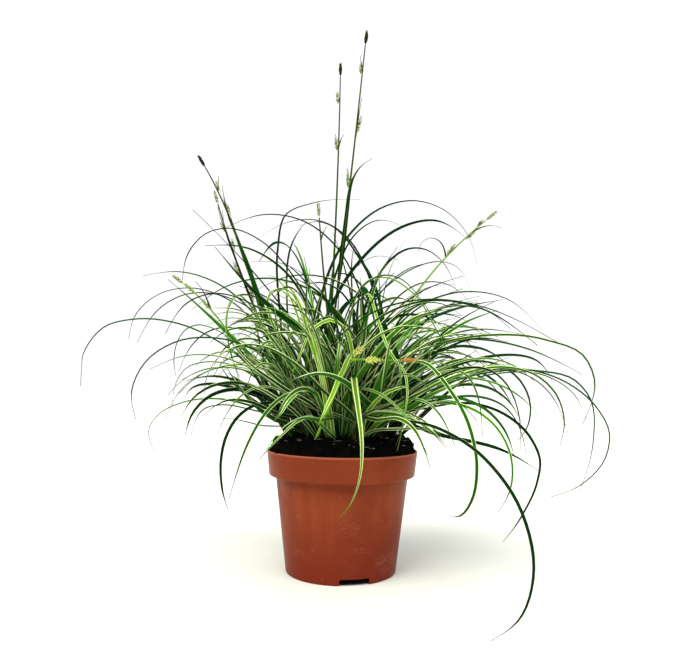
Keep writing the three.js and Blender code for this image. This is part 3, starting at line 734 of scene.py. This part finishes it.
def leaf_material():
    """Deep green with cream margins, and painted shade that dims the blades at the tuft's foot. `tint` holds
    the margin's share of the half width, how lime the blade is and how fresh its green is."""
    g = material_graph("leaf")
    place, across, along, gone = g.read("place")
    _, margin, lime, fresh = g.read("tint")
    streaks = g.noise(place, 5.0, stretch=(2.2, 0.6, 30))
    green = g.mix(g.between(fresh, 0.0, 1.0, smooth=False), DEEP_GREEN, FRESH_GREEN)
    green = g.mix(lime, green, LIME_GREEN)
    green = g.mix(g.between(streaks, 0.4, 0.75, 0.0, 0.6), green, STREAK, blend="MULTIPLY")
    outward = g.maths("ABSOLUTE", across)
    inner = g.maths("SUBTRACT", 1.0, margin)
    outer = g.maths("ADD", inner, 0.07)
    edge = g.maths("MULTIPLY", g.between(outward, inner, outer), g.between(margin, 0.0, 0.05))
    cream = g.mix(g.maths("MULTIPLY", lime, 0.6), CREAM, PALE_LIME)
    # Painted shade: the blades are dimmed near their roots, at the tuft's foot.
    foot_shade_share = g.between(gone, *FOOT_SHADE_REACH, 0.98, 0.0, smooth=False)
    colour = g.mix(foot_shade_share, g.mix(edge, green, cream), FOOT_PAINTED_SHADE, blend="MULTIPLY")
    root = g.between(gone, 1 * MM, 9 * MM, 0.6, 0.0)
    colour = g.layers(colour, (root, STRAW), (g.between(along, 0.9, 1.0, 0.0, 0.7), STRAW))
    veins = g.maths("SINE", g.maths("MULTIPLY", across, 38.0))
    roughness = g.between(streaks, 0.3, 0.8, 0.45, 0.6)
    return g.surface(colour, roughness, height=veins, relief=0.02 * MM, gloss=0.12, ior=1.25)


def sheath_material():
    """Brown at the foot, green further up."""
    g = material_graph("sheath")
    place, _, along, _ = g.read("place")
    streaks = g.noise(place, 6.0, stretch=(1, 3, 1))
    colour = g.layers(
        (0.030, 0.018, 0.008),
        (g.between(streaks, 0.35, 0.65), (0.12, 0.10, 0.03)),
        (g.between(along, 0.35, 0.8), DEEP_GREEN),
    )
    return g.surface(colour, 0.6, height=streaks, relief=0.3 * MM, gloss=0.2)


def stem_material():
    """Green stems, darker further up. `tint` holds how lime the stem is."""
    g = material_graph("stem")
    place, _, along, _ = g.read("place")
    _, _, lime, _ = g.read("tint")
    streaks = g.noise(place, 7.0, stretch=(1, 1, 120))
    colour = g.layers(
        (0.003, 0.024, 0.003),
        (g.between(streaks, 0.4, 0.7, 0.0, 0.2), (0.04, 0.12, 0.015)),
        (g.between(along, 0.35, 0.75), (0.0025, 0.0080, 0.0022)),
        (lime, (0.200, 0.400, 0.025)),
    )
    return g.surface(colour, 0.5, height=streaks, relief=0.05 * MM, gloss=0.06)


def fruit_material():
    """The green and yellow fruits of the lower spikes. `tint` holds how warm they are and a number of the
    fruit's own."""
    g = material_graph("fruit")
    place, _, along, _ = g.read("place")
    _, _, warm, own = g.read("tint")
    speckle = g.noise(place, 9.0, stretch=(1, 2, 400))
    colour = g.layers(
        (0.070, 0.120, 0.010),
        (own, (0.330, 0.370, 0.060)),
        (warm, (0.740, 0.720, 0.200)),
        (g.between(along, 0.6, 1.0, 0.0, 0.7), (0.230, 0.160, 0.035)),
        (g.between(speckle, 0.45, 0.8, 0.0, 0.4), (0.16, 0.22, 0.03)),
    )
    return g.surface(colour, 0.6, height=speckle, relief=0.08 * MM, gloss=0.15)


def scale_material():
    """The brown scales of the spike at a stem's tip. `tint` holds how green and how warm they are, and a
    number of the scale's own."""
    g = material_graph("scale")
    place, _, along, _ = g.read("place")
    _, unripe, warm, own = g.read("tint")
    speckle = g.noise(place, 8.0, stretch=(2, 2, 300))
    colour = g.layers(
        (0.007, 0.0065, 0.002),
        (own, (0.036, 0.025, 0.008)),
        (unripe, (0.27, 0.32, 0.08)),
        (warm, (0.46, 0.22, 0.045)),
        (g.between(along, 0.6, 1.0, 0.0, 0.15), (0.30, 0.22, 0.08)),
    )
    return g.surface(colour, 0.7, height=speckle, relief=0.1 * MM, gloss=0.08)


def pot_material():
    """Red-brown plastic, streaked and clouded, with scratches and dust. A pale line round the rim is a
    painted highlight, and the pot darkens towards its foot as painted shade.
    """
    g = material_graph("pot")
    where = g.where()
    height = g.height(where)
    streaks = g.noise(where, 90.0, stretch=(1, 1, 0.06))
    cloud = g.noise(where, 22.0)
    dust = g.noise(where, 420.0, detail=6.0)
    lip = g.between(height, LIP_FOOT - 0.5 * MM, LIP_FOOT + 1 * MM, 0.0, 0.55)
    # Painted shade: darker towards the foot.
    foot = g.between(height, 0.0, 0.85 * LIP_FOOT, 1.0, 0.0)
    # Painted highlight: a pale line round the rounded rim.
    rim = g.between(height, POT_HEIGHT - 1.8 * MM, POT_HEIGHT - 0.9 * MM, 0.0, 0.8)
    colour = g.layers(
        (0.222, 0.0390, 0.0118),
        (g.between(streaks, 0.35, 0.7), (0.262, 0.0520, 0.0165)),
        (g.between(streaks, 0.25, 0.42, 0.5, 0.0), (0.175, 0.0280, 0.0100)),
        (g.between(cloud, 0.4, 0.7, 0.0, 0.9), (0.172, 0.0255, 0.0085)),
        (lip, (0.200, 0.0350, 0.0110)),
        (foot, (0.165, 0.0200, 0.0075)),
        (rim, (0.360, 0.0950, 0.0480)),
        (g.scratches(where), (0.46, 0.20, 0.14)),
        (g.between(dust, 0.66, 0.8, 0.0, 0.3), (0.55, 0.30, 0.22)),
    )
    roughness = g.between(cloud, 0.3, 0.8, 0.34, 0.48)
    return g.surface(colour, roughness, height=dust, relief=0.03 * MM, gloss=0.25, ior=1.22)


def soil_material():
    g = material_graph("soil")
    where = g.where()
    grain = g.noise(where, 900.0, detail=8.0)
    patch = g.noise(where, 140.0)
    colour = g.layers(
        (0.0004, 0.0004, 0.0004),
        (g.between(patch, 0.35, 0.7), (0.0018, 0.0015, 0.0011)),
        (g.between(grain, 0.6, 0.8, 0.0, 0.6), (0.010, 0.007, 0.004)),
    )
    return g.surface(colour, 0.92, height=grain, relief=0.5 * MM, gloss=0.04)


def chip_material():
    """Straw-coloured chips, most of them nearly as dark as the soil. `tint` holds how dark the chip is."""
    g = material_graph("chip")
    grain = g.noise(g.where(), 500.0, stretch=(1, 1, 0.3))
    _, _, _, dark = g.read("tint")
    colour = g.layers(
        (0.20, 0.17, 0.08),
        (g.between(grain, 0.3, 0.7), (0.42, 0.38, 0.22)),
        (dark, (0.022, 0.020, 0.016)),
    )
    return g.surface(colour, 0.8, height=grain, relief=0.2 * MM)


def floor_material():
    """Pale, with painted shade round the pot, where it is also a little creamier."""
    g = material_graph("floor")
    where = g.where()
    away = g.node("VectorMath", {0: where}, output=1, operation="LENGTH")
    colour = g.layers(
        (0.745, 0.755, 0.70),
        (g.between(g.noise(where, 3.0), 0.3, 0.7), (0.785, 0.795, 0.74)),
        # Painted shade round the pot: darker and creamier near it.
        (g.between(away, 0.08, 0.40, 0.7, 0.0), (0.715, 0.725, 0.640)),
    )
    return g.surface(colour, 0.6)


LEAF = leaf_material()
SOIL = soil_material()
SHEATH = sheath_material()
STEM = stem_material()
FRUIT = fruit_material()
SCALE = scale_material()


def soil_height(x, y):
    share = min(1.0, math.hypot(x, y) / (RIM_RADIUS - WALL))
    x, y = x / MM, y / MM
    crumbs = 0.9 * MM * math.sin(0.31 * x + 1.7 * math.sin(0.13 * y)) * math.cos(0.27 * y - 0.6)
    return SOIL_EDGE + (SOIL_CROWN + crumbs) * (1 - share**SOIL_ROUNDNESS)


# ---- the tuft ----


def sister(points, uppers, turn, size, rise):
    """A blade's path turned about the upright line through its root, made smaller and steeper."""
    c, s = math.cos(turn), math.sin(turn)
    spin = np.array([[c, s, 0], [-s, c, 0], [0, 0, 1]])
    moved = (points - points[0]) * [1, 1, 1 + rise] * size
    return points[0] + moved @ spin, uppers @ spin


def hangs_in_front(points):
    """Whether a blade is one of those that fall over the rim in the middle of the pot's front."""
    x, y, z = points[-1]
    return abs(x) < 40 * MM and y < -RIM_RADIUS and z < POT_HEIGHT


def hides_stem(points):
    """Whether a blade would stand in front of the stem that leans out of the tuft's front."""
    x, y, z = points.T
    return bool(np.any((y < -38 * MM) & (z > 112 * MM) & (-26 * MM < x) & (x < 70 * MM)))


def turn_to_front(points, uppers):
    """How far a blade rolls at its middle for one of its sides to face the front."""
    k = len(points) // 2
    side = unit(np.cross(uppers[k], points[k + 1] - points[k - 1]))
    turn = math.atan2(side[1], -uppers[k][1])
    return turn - math.copysign(math.pi, turn) if abs(turn) > math.pi / 2 else turn


def boldness(tip):
    """How broad (mm) a bold blade is, with its margin and how fresh it is, by its tip."""
    for place, values in BOLD.items():
        if np.linalg.norm(tip - np.array(place) * MM) < TIP_MATCH:
            return values
    return None


# Tints: of the blades that hang in front; how far forward and how low the brighter ones are; between which
# heights the long ones turn plain and deep, as painted shade; and how lime the others are, with the share of
# each.
HANGING_TINT = (2.2, 0.4, 0.4, 0.0)
NEAR_LINE = -45 * MM
NEAR_TOP = 200 * MM
TOP_SHADE_HEIGHT = (210 * MM, 270 * MM)
LIME_SHARES = ([0, 0.12, 0.3], [0.84, 0.1, 0.06])
LIME_NODES = [s["node"] for s in frame["record"]["subparts"] if s["material_slot"] == "leaf_lime"]
SHOOT_NODES = sorted(name for name in frame["nodes"] if name.startswith("shoot"))


def tint_of(points, node):
    """A blade's margin, how lime it is, how fresh its green is, and how much of these it loses towards its
    tip, as painted shade. Long blades on top are plain and deep, as painted shade, and low ones near the
    front are brighter."""
    top = points[:, 2].max()
    # Painted shade: the taller a blade, the more often it is plain and deep green.
    top_shade = np.interp(top, TOP_SHADE_HEIGHT, (0, 1))
    margin = rng.uniform(0.7, 1.2) * (rng.random() > 0.35 + 0.6 * top_shade)
    lime = rng.uniform(0.4, 0.9) if node in LIME_NODES else rng.choice(LIME_SHARES[0], p=LIME_SHARES[1])
    fresh = rng.random() ** 2.0
    if hangs_in_front(points):
        return np.array(HANGING_TINT)
    if points[:, 1].min() < NEAR_LINE and top < NEAR_TOP:
        return np.array([rng.uniform(1.0, 1.3), rng.choice([0, 0.12]), rng.uniform(0.2, 0.8), 0.6])
    return np.array([margin, lime * (1 - top_shade), fresh * (1 - 0.85 * top_shade), rng.uniform(0.85, 1.0)])


def outward_turn(points, uppers):
    """Which way a blade rolls so that its upper side turns towards the outside of the tuft."""
    k = len(points) // 2
    side = np.cross(uppers[k], points[k + 1] - points[k])
    return 1.0 if np.dot(side[:2], points[k][:2]) >= 0 else -1.0


def grow_sister(body, points, widths, uppers, node):
    """A smaller, slimmer blade beside another one, from the same root."""
    turn = rng.uniform(0.05, 0.22) * rng.choice([-1, 1])
    path, sides = sister(points, uppers, turn, rng.uniform(0.5, 0.92), rng.uniform(-0.05, 0.12))
    if hides_stem(path):
        return
    slim = widths * rng.uniform(0.6, 0.9)
    roll = rng.uniform(0.4, 1.2) * rng.choice([-1, 1])
    grow(body, path, slim, sides, tint_of(path, node), roll, rng.uniform(-0.4, 0.4))


def make_shoot(node):
    """The blades of one shoot, in place of its node."""
    body = Body()
    for points, widths, uppers in blades_of(node):
        tint = tint_of(points, node)
        roll, twist = rng.uniform(0.6, 1.2) * outward_turn(points, uppers), rng.uniform(-0.3, 0.3)
        share = np.linspace(0, 1, len(widths))
        broad = widths * np.interp(widths.max(), *FINENESS) * np.interp(share, *TAPER)
        bold = boldness(points[-1])
        if hangs_in_front(points):
            roll, twist = 0.0, 0.0
            broad = widths * np.interp(share, *HANGING_TAPER)
        elif bold:
            tint = np.array([bold[1], 0.0, bold[2], 0.5])
            roll, broad = 0.9 * turn_to_front(points, uppers), bold[0] * MM * (widths / widths.max()) ** 0.5
        grow(body, points, broad, uppers, tint, roll, twist, 0.4 * MM)
        if points[-1, 2] >= SISTER_FLOOR and rng.random() <= SISTER_SHARE:
            grow_sister(body, points, widths, uppers, node)
    foot, axis = shoot_axis(welded(node)[0])
    make_fan(body, foot + axis * ROOT_START, YOUNG_PER_SHOOT, node)
    register(body.mesh(node + "_blades", LEAF), "leaf_lime" if node in LIME_NODES else "leaf", node)


def make_fan(body, start, count, node):
    """Broad young blades from one foot. They spread away from the tuft's middle, and lean the more the
    further out they stand."""
    outside = min(1.0, math.hypot(start[0], start[1]) / TILLER_REACH)
    away = math.atan2(start[1], start[0])
    for _ in range(count):
        turn = away + rng.normal() * (1.5 - 1.0 * outside)
        facing = math.degrees(turn)
        lean = rng.uniform(0.55, 1.15) * (8 + 34 * outside) * (0.35 + 0.65 * max(0.0, math.cos(turn - away)))
        length = rng.uniform(*YOUNG_LENGTH) * (0.8 + 0.2 * outside)
        droop = lean + rng.uniform(5, 45) * (length / (120 * MM))
        begin = start + heading(facing) * rng.uniform(0.4, 2.0) * MM
        bend = rng.uniform(1.3, 2.4)
        points, ahead, side = walk(begin, facing, lean, droop, length, bend, 0, steps=YOUNG_STEPS)
        if hides_stem(points):
            continue
        widths = rng.uniform(*YOUNG_BREADTH) * np.interp(np.linspace(0, 1, len(points)), *YOUNG_TAPER)
        roll = rng.normal() * 0.6
        tint = tint_of(points, node) * [0.9 * (rng.random() > 0.52), 1, 0.85, 1]
        grow(body, points, widths, np.cross(ahead, side), tint, roll, rng.uniform(-0.3, 0.3))


def make_tillers():
    """The small shoots that stand between the others, each on ground of its own."""
    body = Body()
    feet = [shoot_axis(welded(node)[0])[0][:2] for node in SHOOT_NODES]
    while len(feet) < len(SHOOT_NODES) + TILLERS:
        turn, reach = rng.uniform(0, math.tau), TILLER_REACH * math.sqrt(rng.random())
        spot = np.array([math.cos(turn), math.sin(turn)]) * reach
        if min(np.linalg.norm(spot - other) for other in feet) < TILLER_GAP:
            continue
        feet.append(spot)
        start = np.array([*spot, soil_height(*spot) - 3 * MM])
        make_fan(body, start, BLADES_PER_TILLER, "")
    register(body.mesh("tillers_blades", LEAF), "leaf")


def make_sheaths():
    """The ribbed sheaths at the shoots' feet."""
    body = Body()
    turns = around(9)
    ribs = 1 + 0.10 * np.cos(3 * turns)[None]
    share = np.linspace(0, 1, 9)
    height = share * (SHEATH_BURIED + SHEATH_HEIGHT)
    radius = np.interp(share, [0, 0.35, 0.8, 1], [1.8, 1.6, 1.2, 0.5]) * MM
    place = spread(np.sin(turns)[None], share[:, None], height[:, None])
    for node in SHOOT_NODES:
        foot, axis = shoot_axis(welded(node)[0])
        side = unit(np.cross(axis, [0.3, 1, 0]))
        spoke = spokes(turns, side, np.cross(axis, side))
        rings = foot + height[:, None, None] * axis + (radius[:, None] * ribs)[..., None] * spoke
        body.loft(rings, place, (0, 0, rng.random()))
    register(body.mesh("sheaths", SHEATH), "leaf")


for node in SHOOT_NODES:
    make_shoot(node)
make_tillers()
make_sheaths()


# ---- flowering stems, and the blades that stand out ----


def make_accents():
    body = Body()

    def add(points, breadth, uppers, tint, roll=0.0, twist=0.0):
        widths = breadth * MM * np.interp(np.linspace(0, 1, len(points)), *ACCENT_TAPER)
        # The blades stand clear of the painted shade at the tuft's foot, the pale ones the more.
        grow(body, points, widths, uppers, (*tint, 0.0), roll, twist, clear=(20 + 60 * tint[1]) * MM)

    for (x, y, *line), breadth, tint in ACCENTS:
        facing, lean, droop, length, bend, swing = line
        start = np.array([x * MM, y * MM, TUFT_FLOOR + 4 * MM])
        points, ahead, side = walk(start, facing, lean, droop, length * MM, bend, swing, steps=16)
        points = np.vstack([points[0] - 5 * MM * ahead[0], points])
        uppers = np.cross(np.vstack([ahead[:1], ahead]), np.vstack([side[:1], side]))
        roll = 0.85 * turn_to_front(points, uppers)
        add(points, breadth, uppers, tint, roll, rng.uniform(-0.2, 0.2))
    for breadth, tint, path in FREE_BLADES:
        points = np.array(path) * MM
        add(points, breadth, facing_front(points), tint)
    register(body.mesh("accent_blades", LEAF), "leaf")


def frame_of(ahead):
    """Two ways across a direction, at right angles."""
    side = unit(np.cross([0.31, 0.95, 0.05], ahead))
    return side, np.cross(ahead, side)


def seed(body, base, ahead, length, radius, tint, flat=1.0):
    """One fruit or scale: an egg drawn out to a beak."""
    side, upper = frame_of(ahead)
    turns = around(6)
    share = np.array([0, 0.15, 0.4, 0.65, 0.85])
    fat = np.array([0.35, 0.8, 1.0, 0.7, 0.25]) * radius
    spoke = spokes(turns, side, flat * upper)
    rings = base + (share * length)[:, None, None] * ahead + fat[:, None, None] * spoke
    body.loft(rings, spread(np.cos(turns)[None], share[:, None], share[:, None] * length), tint)


def spiral(ahead, count):
    """The ways out from a spike's middle, each turned on from the last by the golden angle, with its share
    of the way up."""
    side, upper = frame_of(ahead)
    for k in range(count):
        yield math.cos(k * GOLDEN_TURN) * side + math.sin(k * GOLDEN_TURN) * upper, k / count


def fruit_spike(body, base, ahead, length, warm):
    """A spike of fruits that stand out all round, set on a spiral: loose, or fluffy where it is warm."""
    count = int(length / (0.34 * MM if warm else 0.6 * MM))
    for out, share in spiral(ahead, count):
        share += 0.5 / count
        fat = 0.5 + 0.5 * math.sin(math.pi * min(1, 0.15 + share))
        point = base + ahead * share * length + out * 0.5 * MM * fat * (1 + warm)
        lean = unit(ahead + out * rng.uniform(0.3, 0.7) * (1 + warm))
        size = rng.uniform(0.8, 1.2) * fat
        seed(body, point, lean, 3.3 * MM * size, 0.52 * MM * size, (0, warm, rng.random()))


def scale_spike(body, base, ahead, green, warm):
    """The narrow spike at a stem's tip, of overlapping scales, or of looser ones where it is still green."""
    loose = 1.0 if green > 0 else 0.0
    count = int(TIP_LENGTH / (0.3 * MM * (1 + 0.6 * loose)))
    for out, share in spiral(ahead, count):
        fat = (0.22 + 0.78 * math.sin(math.pi * (0.04 + 0.92 * share) ** 0.85)) * TIP_RADIUS
        point = base + ahead * share * TIP_LENGTH * 0.84 + out * 0.55 * fat
        lean = unit(ahead + out * rng.uniform(0.10, 0.3) * (1 + 1.2 * loose))
        size = rng.uniform(0.85, 1.1) * (1 - 0.25 * loose)
        seed(body, point, lean, 3.2 * MM * size, 0.62 * fat * size, (green, warm, rng.random()), flat=0.5)


def facing_front(points):
    """The upper sides of a blade that turns its face to the front all along."""
    ahead = unit(np.gradient(points, axis=0))
    return unit(FRONT - (ahead @ FRONT)[:, None] * ahead)


def make_stem(body, points, ahead, side, length, lime):
    """A stem with three blunt edges, thinner towards its tip."""
    share = np.linspace(0, 1, len(points))
    radius = np.interp(share, [0, 0.4, 1], [STEM_RADIUS, 0.9 * STEM_RADIUS, STEM_TIP_RADIUS]) * 0.92
    turns = around(9)
    edges = (1 + 0.16 * np.cos(3 * turns))[None] * radius[:, None]
    spoke = spokes(turns, np.cross(ahead, side)[:, None], -side[:, None])
    place = spread(np.cos(turns)[None], share[:, None], (share * length)[:, None])
    body.loft(points[:, None] + edges[..., None] * spoke, place, (0, lime, rng.random()), pointed=False)


# The leaves on the stems: how broad along them, in shares, and how broad in mm where they have no sheath.
BRACT_BREADTH = 1.6
BRACT_TAPER = ([0, 0.3, 1], [1, 0.8, 0])
SHEATHED_TAPER = ([0, 0.25, 0.55, 1], [0, 1, 0.7, 0])


def grow_bract(leaves, at, row, lime):
    """A small leaf on a stem. One with a sheath starts lower down and lies along the stem's front."""
    where, size, towards, lean, droop, sheath = row
    path, _, _ = walk(at(where)[0], towards, lean, droop, size * MM, 1.4, 0, steps=6)
    breadth, taper, tint = BRACT_BREADTH, BRACT_TAPER, (0, lime, 0.1, 0)
    if sheath:
        below = [at(where - back)[0] for back in np.linspace(0.3, 0.04, 7)]
        path = np.vstack([below, path]) - [0, 1.2 * MM, 0]
        breadth, taper, tint = sheath, SHEATHED_TAPER, (0.2, 0.2 * lime, 0.0, 0)
    widths = breadth * MM * np.interp(np.linspace(0, 1, len(path)), *taper)
    grow(leaves, path, widths, facing_front(path), tint)


def make_culm(number, row, leaves):
    """A flowering stem with its spikes. Its leaves go into the body of all the stems' leaves."""
    (x, y, *line), spikes, bracts = row
    facing, lean, droop, length, bend, swing = line
    start = np.array([x * MM, y * MM, TUFT_FLOOR - 4 * MM])
    hanging = number == HANGING_STEM
    crease = HANGING_CREASE if hanging else (0, 0)
    points, ahead, side = walk(start, facing, lean, droop, length * MM, bend, swing, crease)
    warm = 0.95 if hanging else 0.0
    lime = 1.0 if hanging else 0.75 if number in LIME_STEMS else rng.uniform(0.0, 0.2)

    def at(where):
        k = min(int(where * (len(points) - 1)), len(points) - 2)
        part = where * (len(points) - 1) - k
        return points[k] * (1 - part) + points[k + 1] * part, ahead[k]

    stem, fruits, tip = Body(), Body(), Body()
    make_stem(stem, points, ahead, side, length * MM, lime)
    for where, size, towards in spikes:
        base, along = at(where)
        out = heading(towards)
        shift = np.array(HANGING_SHIFTS[towards] if hanging else (0, 0, 0)) * MM
        fruit_spike(fruits, base + out * 0.9 * MM + shift, unit(along + 0.16 * out), size * MM, warm)
    for bract in bracts:
        grow_bract(leaves, at, bract, lime)
    scale_spike(tip, points[-1] + ahead[-1] * 0.3 * MM, ahead[-1], GREEN_TIPS.get(number, 0.0), warm)

    node = f"culm_{number}"
    register(stem.mesh(node + "_stem", STEM), "stem", node)
    register(tip.mesh(node + "_scales", SCALE), "spike", node + "_tip")
    if fruits.count:
        register(fruits.mesh(node + "_fruits", FRUIT), "stem")


bract_leaves = Body()
for number, row in enumerate(CULMS, 1):
    make_culm(number, row, bract_leaves)
register(bract_leaves.mesh("bract_blades", LEAF), "leaf")
make_accents()


# ---- pot ----


def arc(centre, radius, start, end, count):
    """Points on an arc in the outline's plane, from one angle to another."""
    return [
        (centre[0] + radius * math.cos(math.radians(a)), centre[1] + radius * math.sin(math.radians(a)))
        for a in np.linspace(start, end, count)
    ]


def pot_outline():
    """Half of the pot's section, from the middle of its foot over the rim and down to its floor."""
    edge = 0.7 * MM
    return [
        (0, 0),
        (FOOT_RADIUS - 2 * MM, 0),
        *arc((FOOT_RADIUS - 1.1 * MM, 1.1 * MM), 1.1 * MM, -90, 5, 5),
        (SHOULDER_RADIUS, LIP_FOOT - 2.2 * MM),
        *reversed(arc((SHOULDER_RADIUS + 1.3 * MM, LIP_FOOT - 1.7 * MM), 1.3 * MM, 90, 175, 5)),
        *arc((LIP_FOOT_RADIUS - 1.2 * MM, LIP_FOOT + 0.8 * MM), 1.2 * MM, -90, 5, 6),
        *arc((RIM_RADIUS - edge, POT_HEIGHT - edge), edge, 5, 175, 9),
        (LIP_FOOT_RADIUS - WALL, LIP_FOOT + 2 * MM),
        (SHOULDER_RADIUS - WALL, LIP_FOOT),
        (FOOT_RADIUS - WALL, FLOOR),
        (0, FLOOR),
    ]


def notch_cutter():
    """Blocks with rounded corners, where the notches go."""
    bm = bmesh.new()
    for k in range(NOTCH["count"]):
        turn = Matrix.Rotation(math.radians(NOTCH["facing"] + 360 * k / NOTCH["count"]), 4, "Z")
        shift = Matrix.Translation((FOOT_RADIUS, 0, 0))
        size = Matrix.Diagonal((NOTCH["depth"], NOTCH["width"], 2 * NOTCH["height"], 1))
        bmesh.ops.create_cube(bm, size=1, matrix=turn @ shift @ size)
    level = [e for e in bm.edges if abs((e.verts[0].co - e.verts[1].co).normalized().z) < 0.1]
    bmesh.ops.bevel(bm, geom=level, offset=1.2 * MM, segments=3, affect="EDGES", profile=0.5)
    return placed("notches", as_mesh("notches", bm))


def make_pot():
    bm = bmesh.new()
    corners = [bm.verts.new((r, 0, z)) for r, z in pot_outline()]
    edges = [bm.edges.new(pair) for pair in zip(corners, corners[1:])]
    spin = {"axis": (0, 0, 1), "cent": (0, 0, 0), "angle": math.tau, "steps": POT_SIDES}
    bmesh.ops.spin(bm, geom=corners + edges, use_merge=True, **spin)
    bmesh.ops.remove_doubles(bm, verts=bm.verts, dist=0.01 * MM)
    bmesh.ops.recalc_face_normals(bm, faces=bm.faces)
    pot = dressed("pot_shell", as_mesh("pot_shell", bm), pot_material())
    cutter = notch_cutter()
    cut = pot.modifiers.new("notches", "BOOLEAN")
    cut.operation, cut.solver, cut.object = "DIFFERENCE", "EXACT", cutter
    shown = pot.evaluated_get(bpy.context.evaluated_depsgraph_get())
    pot.data = bpy.data.meshes.new_from_object(shown)
    pot.modifiers.clear()
    bpy.data.objects.remove(cutter)
    pot.data.set_sharp_from_angle(angle=math.radians(40))
    pot.data.name = "pot_shell"
    register(pot, "pot", "pot")


make_pot()


# ---- soil ----


def clod(x, y):
    """How far the crumbs lift the ground at a place."""
    place = Vector((x, y, 0)) / MM
    coarse = noise.noise(place * 0.16)
    fine = noise.noise(place * 0.55 + Vector((9, 4, 2)))
    grain = noise.noise(place * 1.6)
    return (1.0 * coarse + 0.9 * abs(fine) + 0.35 * grain) * MM


def make_soil():
    """The ground: from the pot's floor up its wall to the rim, then over the mound to its middle."""
    body = Body()
    turns = around(SOIL_SIDES)
    rings = [
        [(r * math.cos(t), r * math.sin(t), z) for t in turns]
        for r, z in (
            (FOOT_RADIUS - 1.7 * MM, 1.9 * MM),
            (SHOULDER_RADIUS - 1.7 * MM, LIP_FOOT + 0.3 * MM),
            (LIP_FOOT_RADIUS - 1.8 * MM, LIP_FOOT + 2.6 * MM),
        )
    ]
    for k in range(SOIL_RINGS):
        radius = SOIL_RADIUS * math.sin(math.pi / 2 * (1 - k / SOIL_RINGS))
        fade = min(1, (SOIL_RADIUS - radius) / (3 * MM))
        places = [(radius * math.cos(t), radius * math.sin(t)) for t in turns]
        rings.append([(x, y, soil_height(x, y) + fade * clod(x, y)) for x, y in places])
    body.loft(np.array(rings), (0, 0, 0), (0, 0, 0))
    register(body.mesh("soil_ground", SOIL), "soil", "soil")


def lump(body, centre, size, stretch=(1, 1, 1), tint=(0, 0, 0)):
    """An angular crumb."""
    turn = Matrix.Rotation(rng.uniform(0, math.tau), 3, "Z")
    tilt = Matrix.Rotation(rng.uniform(0, math.pi), 3, "X")
    shaken = ICO * rng.uniform(0.7, 1.25, (len(ICO), 1)) * stretch * size
    body.add(centre + shaken @ np.array(turn @ tilt).T, ICO_FACES, (0, 0, 0), tint)


def ico():
    bm = bmesh.new()
    bmesh.ops.create_icosphere(bm, subdivisions=1, radius=1)
    corners = np.array([v.co for v in bm.verts])
    faces = [[v.index for v in f.verts] for f in bm.faces]
    bm.free()
    return corners, faces


ICO, ICO_FACES = ico()


def scattered(reach, nearest=0.0):
    """A place drawn evenly from a disc, or from a ring of it: how far out it is, and where."""
    radius, turn = reach * math.sqrt(rng.uniform(nearest, 1)), rng.uniform(0, math.tau)
    return radius, radius * math.cos(turn), radius * math.sin(turn)


def make_crumbs():
    crumbs, chips = Body(), Body()
    sizes, shares = CRUMB_SIZES
    for _ in range(CRUMBS):
        radius, x, y = scattered(SOIL_RADIUS + 0.8 * MM)
        size = rng.choice(sizes, p=shares) * MM
        ground = soil_height(x, y) + clod(x, y) if radius < SOIL_RADIUS else POT_HEIGHT
        lump(crumbs, np.array([x, y, ground + 0.2 * size]), size)
    for _ in range(CHIPS):
        _, x, y = scattered(CHIP_REACH, nearest=0.3)
        size = rng.uniform(0.2, 0.5) * MM
        place = np.array([x, y, soil_height(x, y) + clod(x, y) + 0.6 * MM])
        lump(chips, place, size, (rng.uniform(3, 11), 1, 0.7), (0, 0, rng.random() ** 0.3))
    register(crumbs.mesh("soil_crumbs", SOIL, smooth=False), "soil")
    register(chips.mesh("soil_chips", chip_material(), smooth=False), "soil")


make_soil()
make_crumbs()


# ---- stage, light and camera ----


def make_stage():
    bm = bmesh.new()
    bmesh.ops.create_circle(bm, cap_ends=True, segments=96, radius=FLOOR_RADIUS)
    dressed("floor", as_mesh("floor", bm), floor_material())


def make_sun(name, place, strength, colour):
    """A broad soft light from the side of a place."""
    light = bpy.data.lights.new(name, "SUN")
    light.angle, light.energy, light.color = SUN_BREADTH, strength, colour
    lamp = placed(name, light)
    lamp.location = place
    lamp.rotation_euler = (-Vector(place)).to_track_quat("-Z", "Y").to_euler()


def make_world():
    world = bpy.data.worlds.new("studio")
    bpy.context.scene.world = world
    g = Graph(world)
    light, seen = (g.node("Background", dict(enumerate(values))) for values in (STUDIO_LIGHT, STUDIO_SEEN))
    is_seen = g.node("LightPath", output="Is Camera Ray")
    g.node("OutputWorld", {0: g.node("MixShader", {0: is_seen, 1: light, 2: seen})})


def make_camera():
    level = Vector((math.sin(CAMERA_YAW), math.cos(CAMERA_YAW), 0))
    right = Vector((math.cos(CAMERA_YAW), -math.sin(CAMERA_YAW), 0))
    ahead = level * math.cos(CAMERA_PITCH) + Vector((0, 0, math.sin(CAMERA_PITCH)))
    up = right.cross(ahead)
    rolled_right = right * math.cos(CAMERA_ROLL) + up * math.sin(CAMERA_ROLL)
    rolled_up = up * math.cos(CAMERA_ROLL) - right * math.sin(CAMERA_ROLL)
    lens = bpy.data.cameras.new("camera")
    lens.sensor_width = SENSOR_WIDTH
    lens.lens = FOCAL_LENGTH
    lens.clip_start = 0.01
    camera = placed("camera", lens)
    turn = Matrix((rolled_right, rolled_up, -ahead)).transposed().to_4x4()
    camera.matrix_world = Matrix.Translation((0, -CAMERA_DISTANCE, CAMERA_HEIGHT)) @ turn
    bpy.context.scene.camera = camera


make_stage()
make_world()
make_camera()
for sun in SUNS:
    make_sun(*sun)
bpy.context.scene.view_settings.view_transform = "Standard"
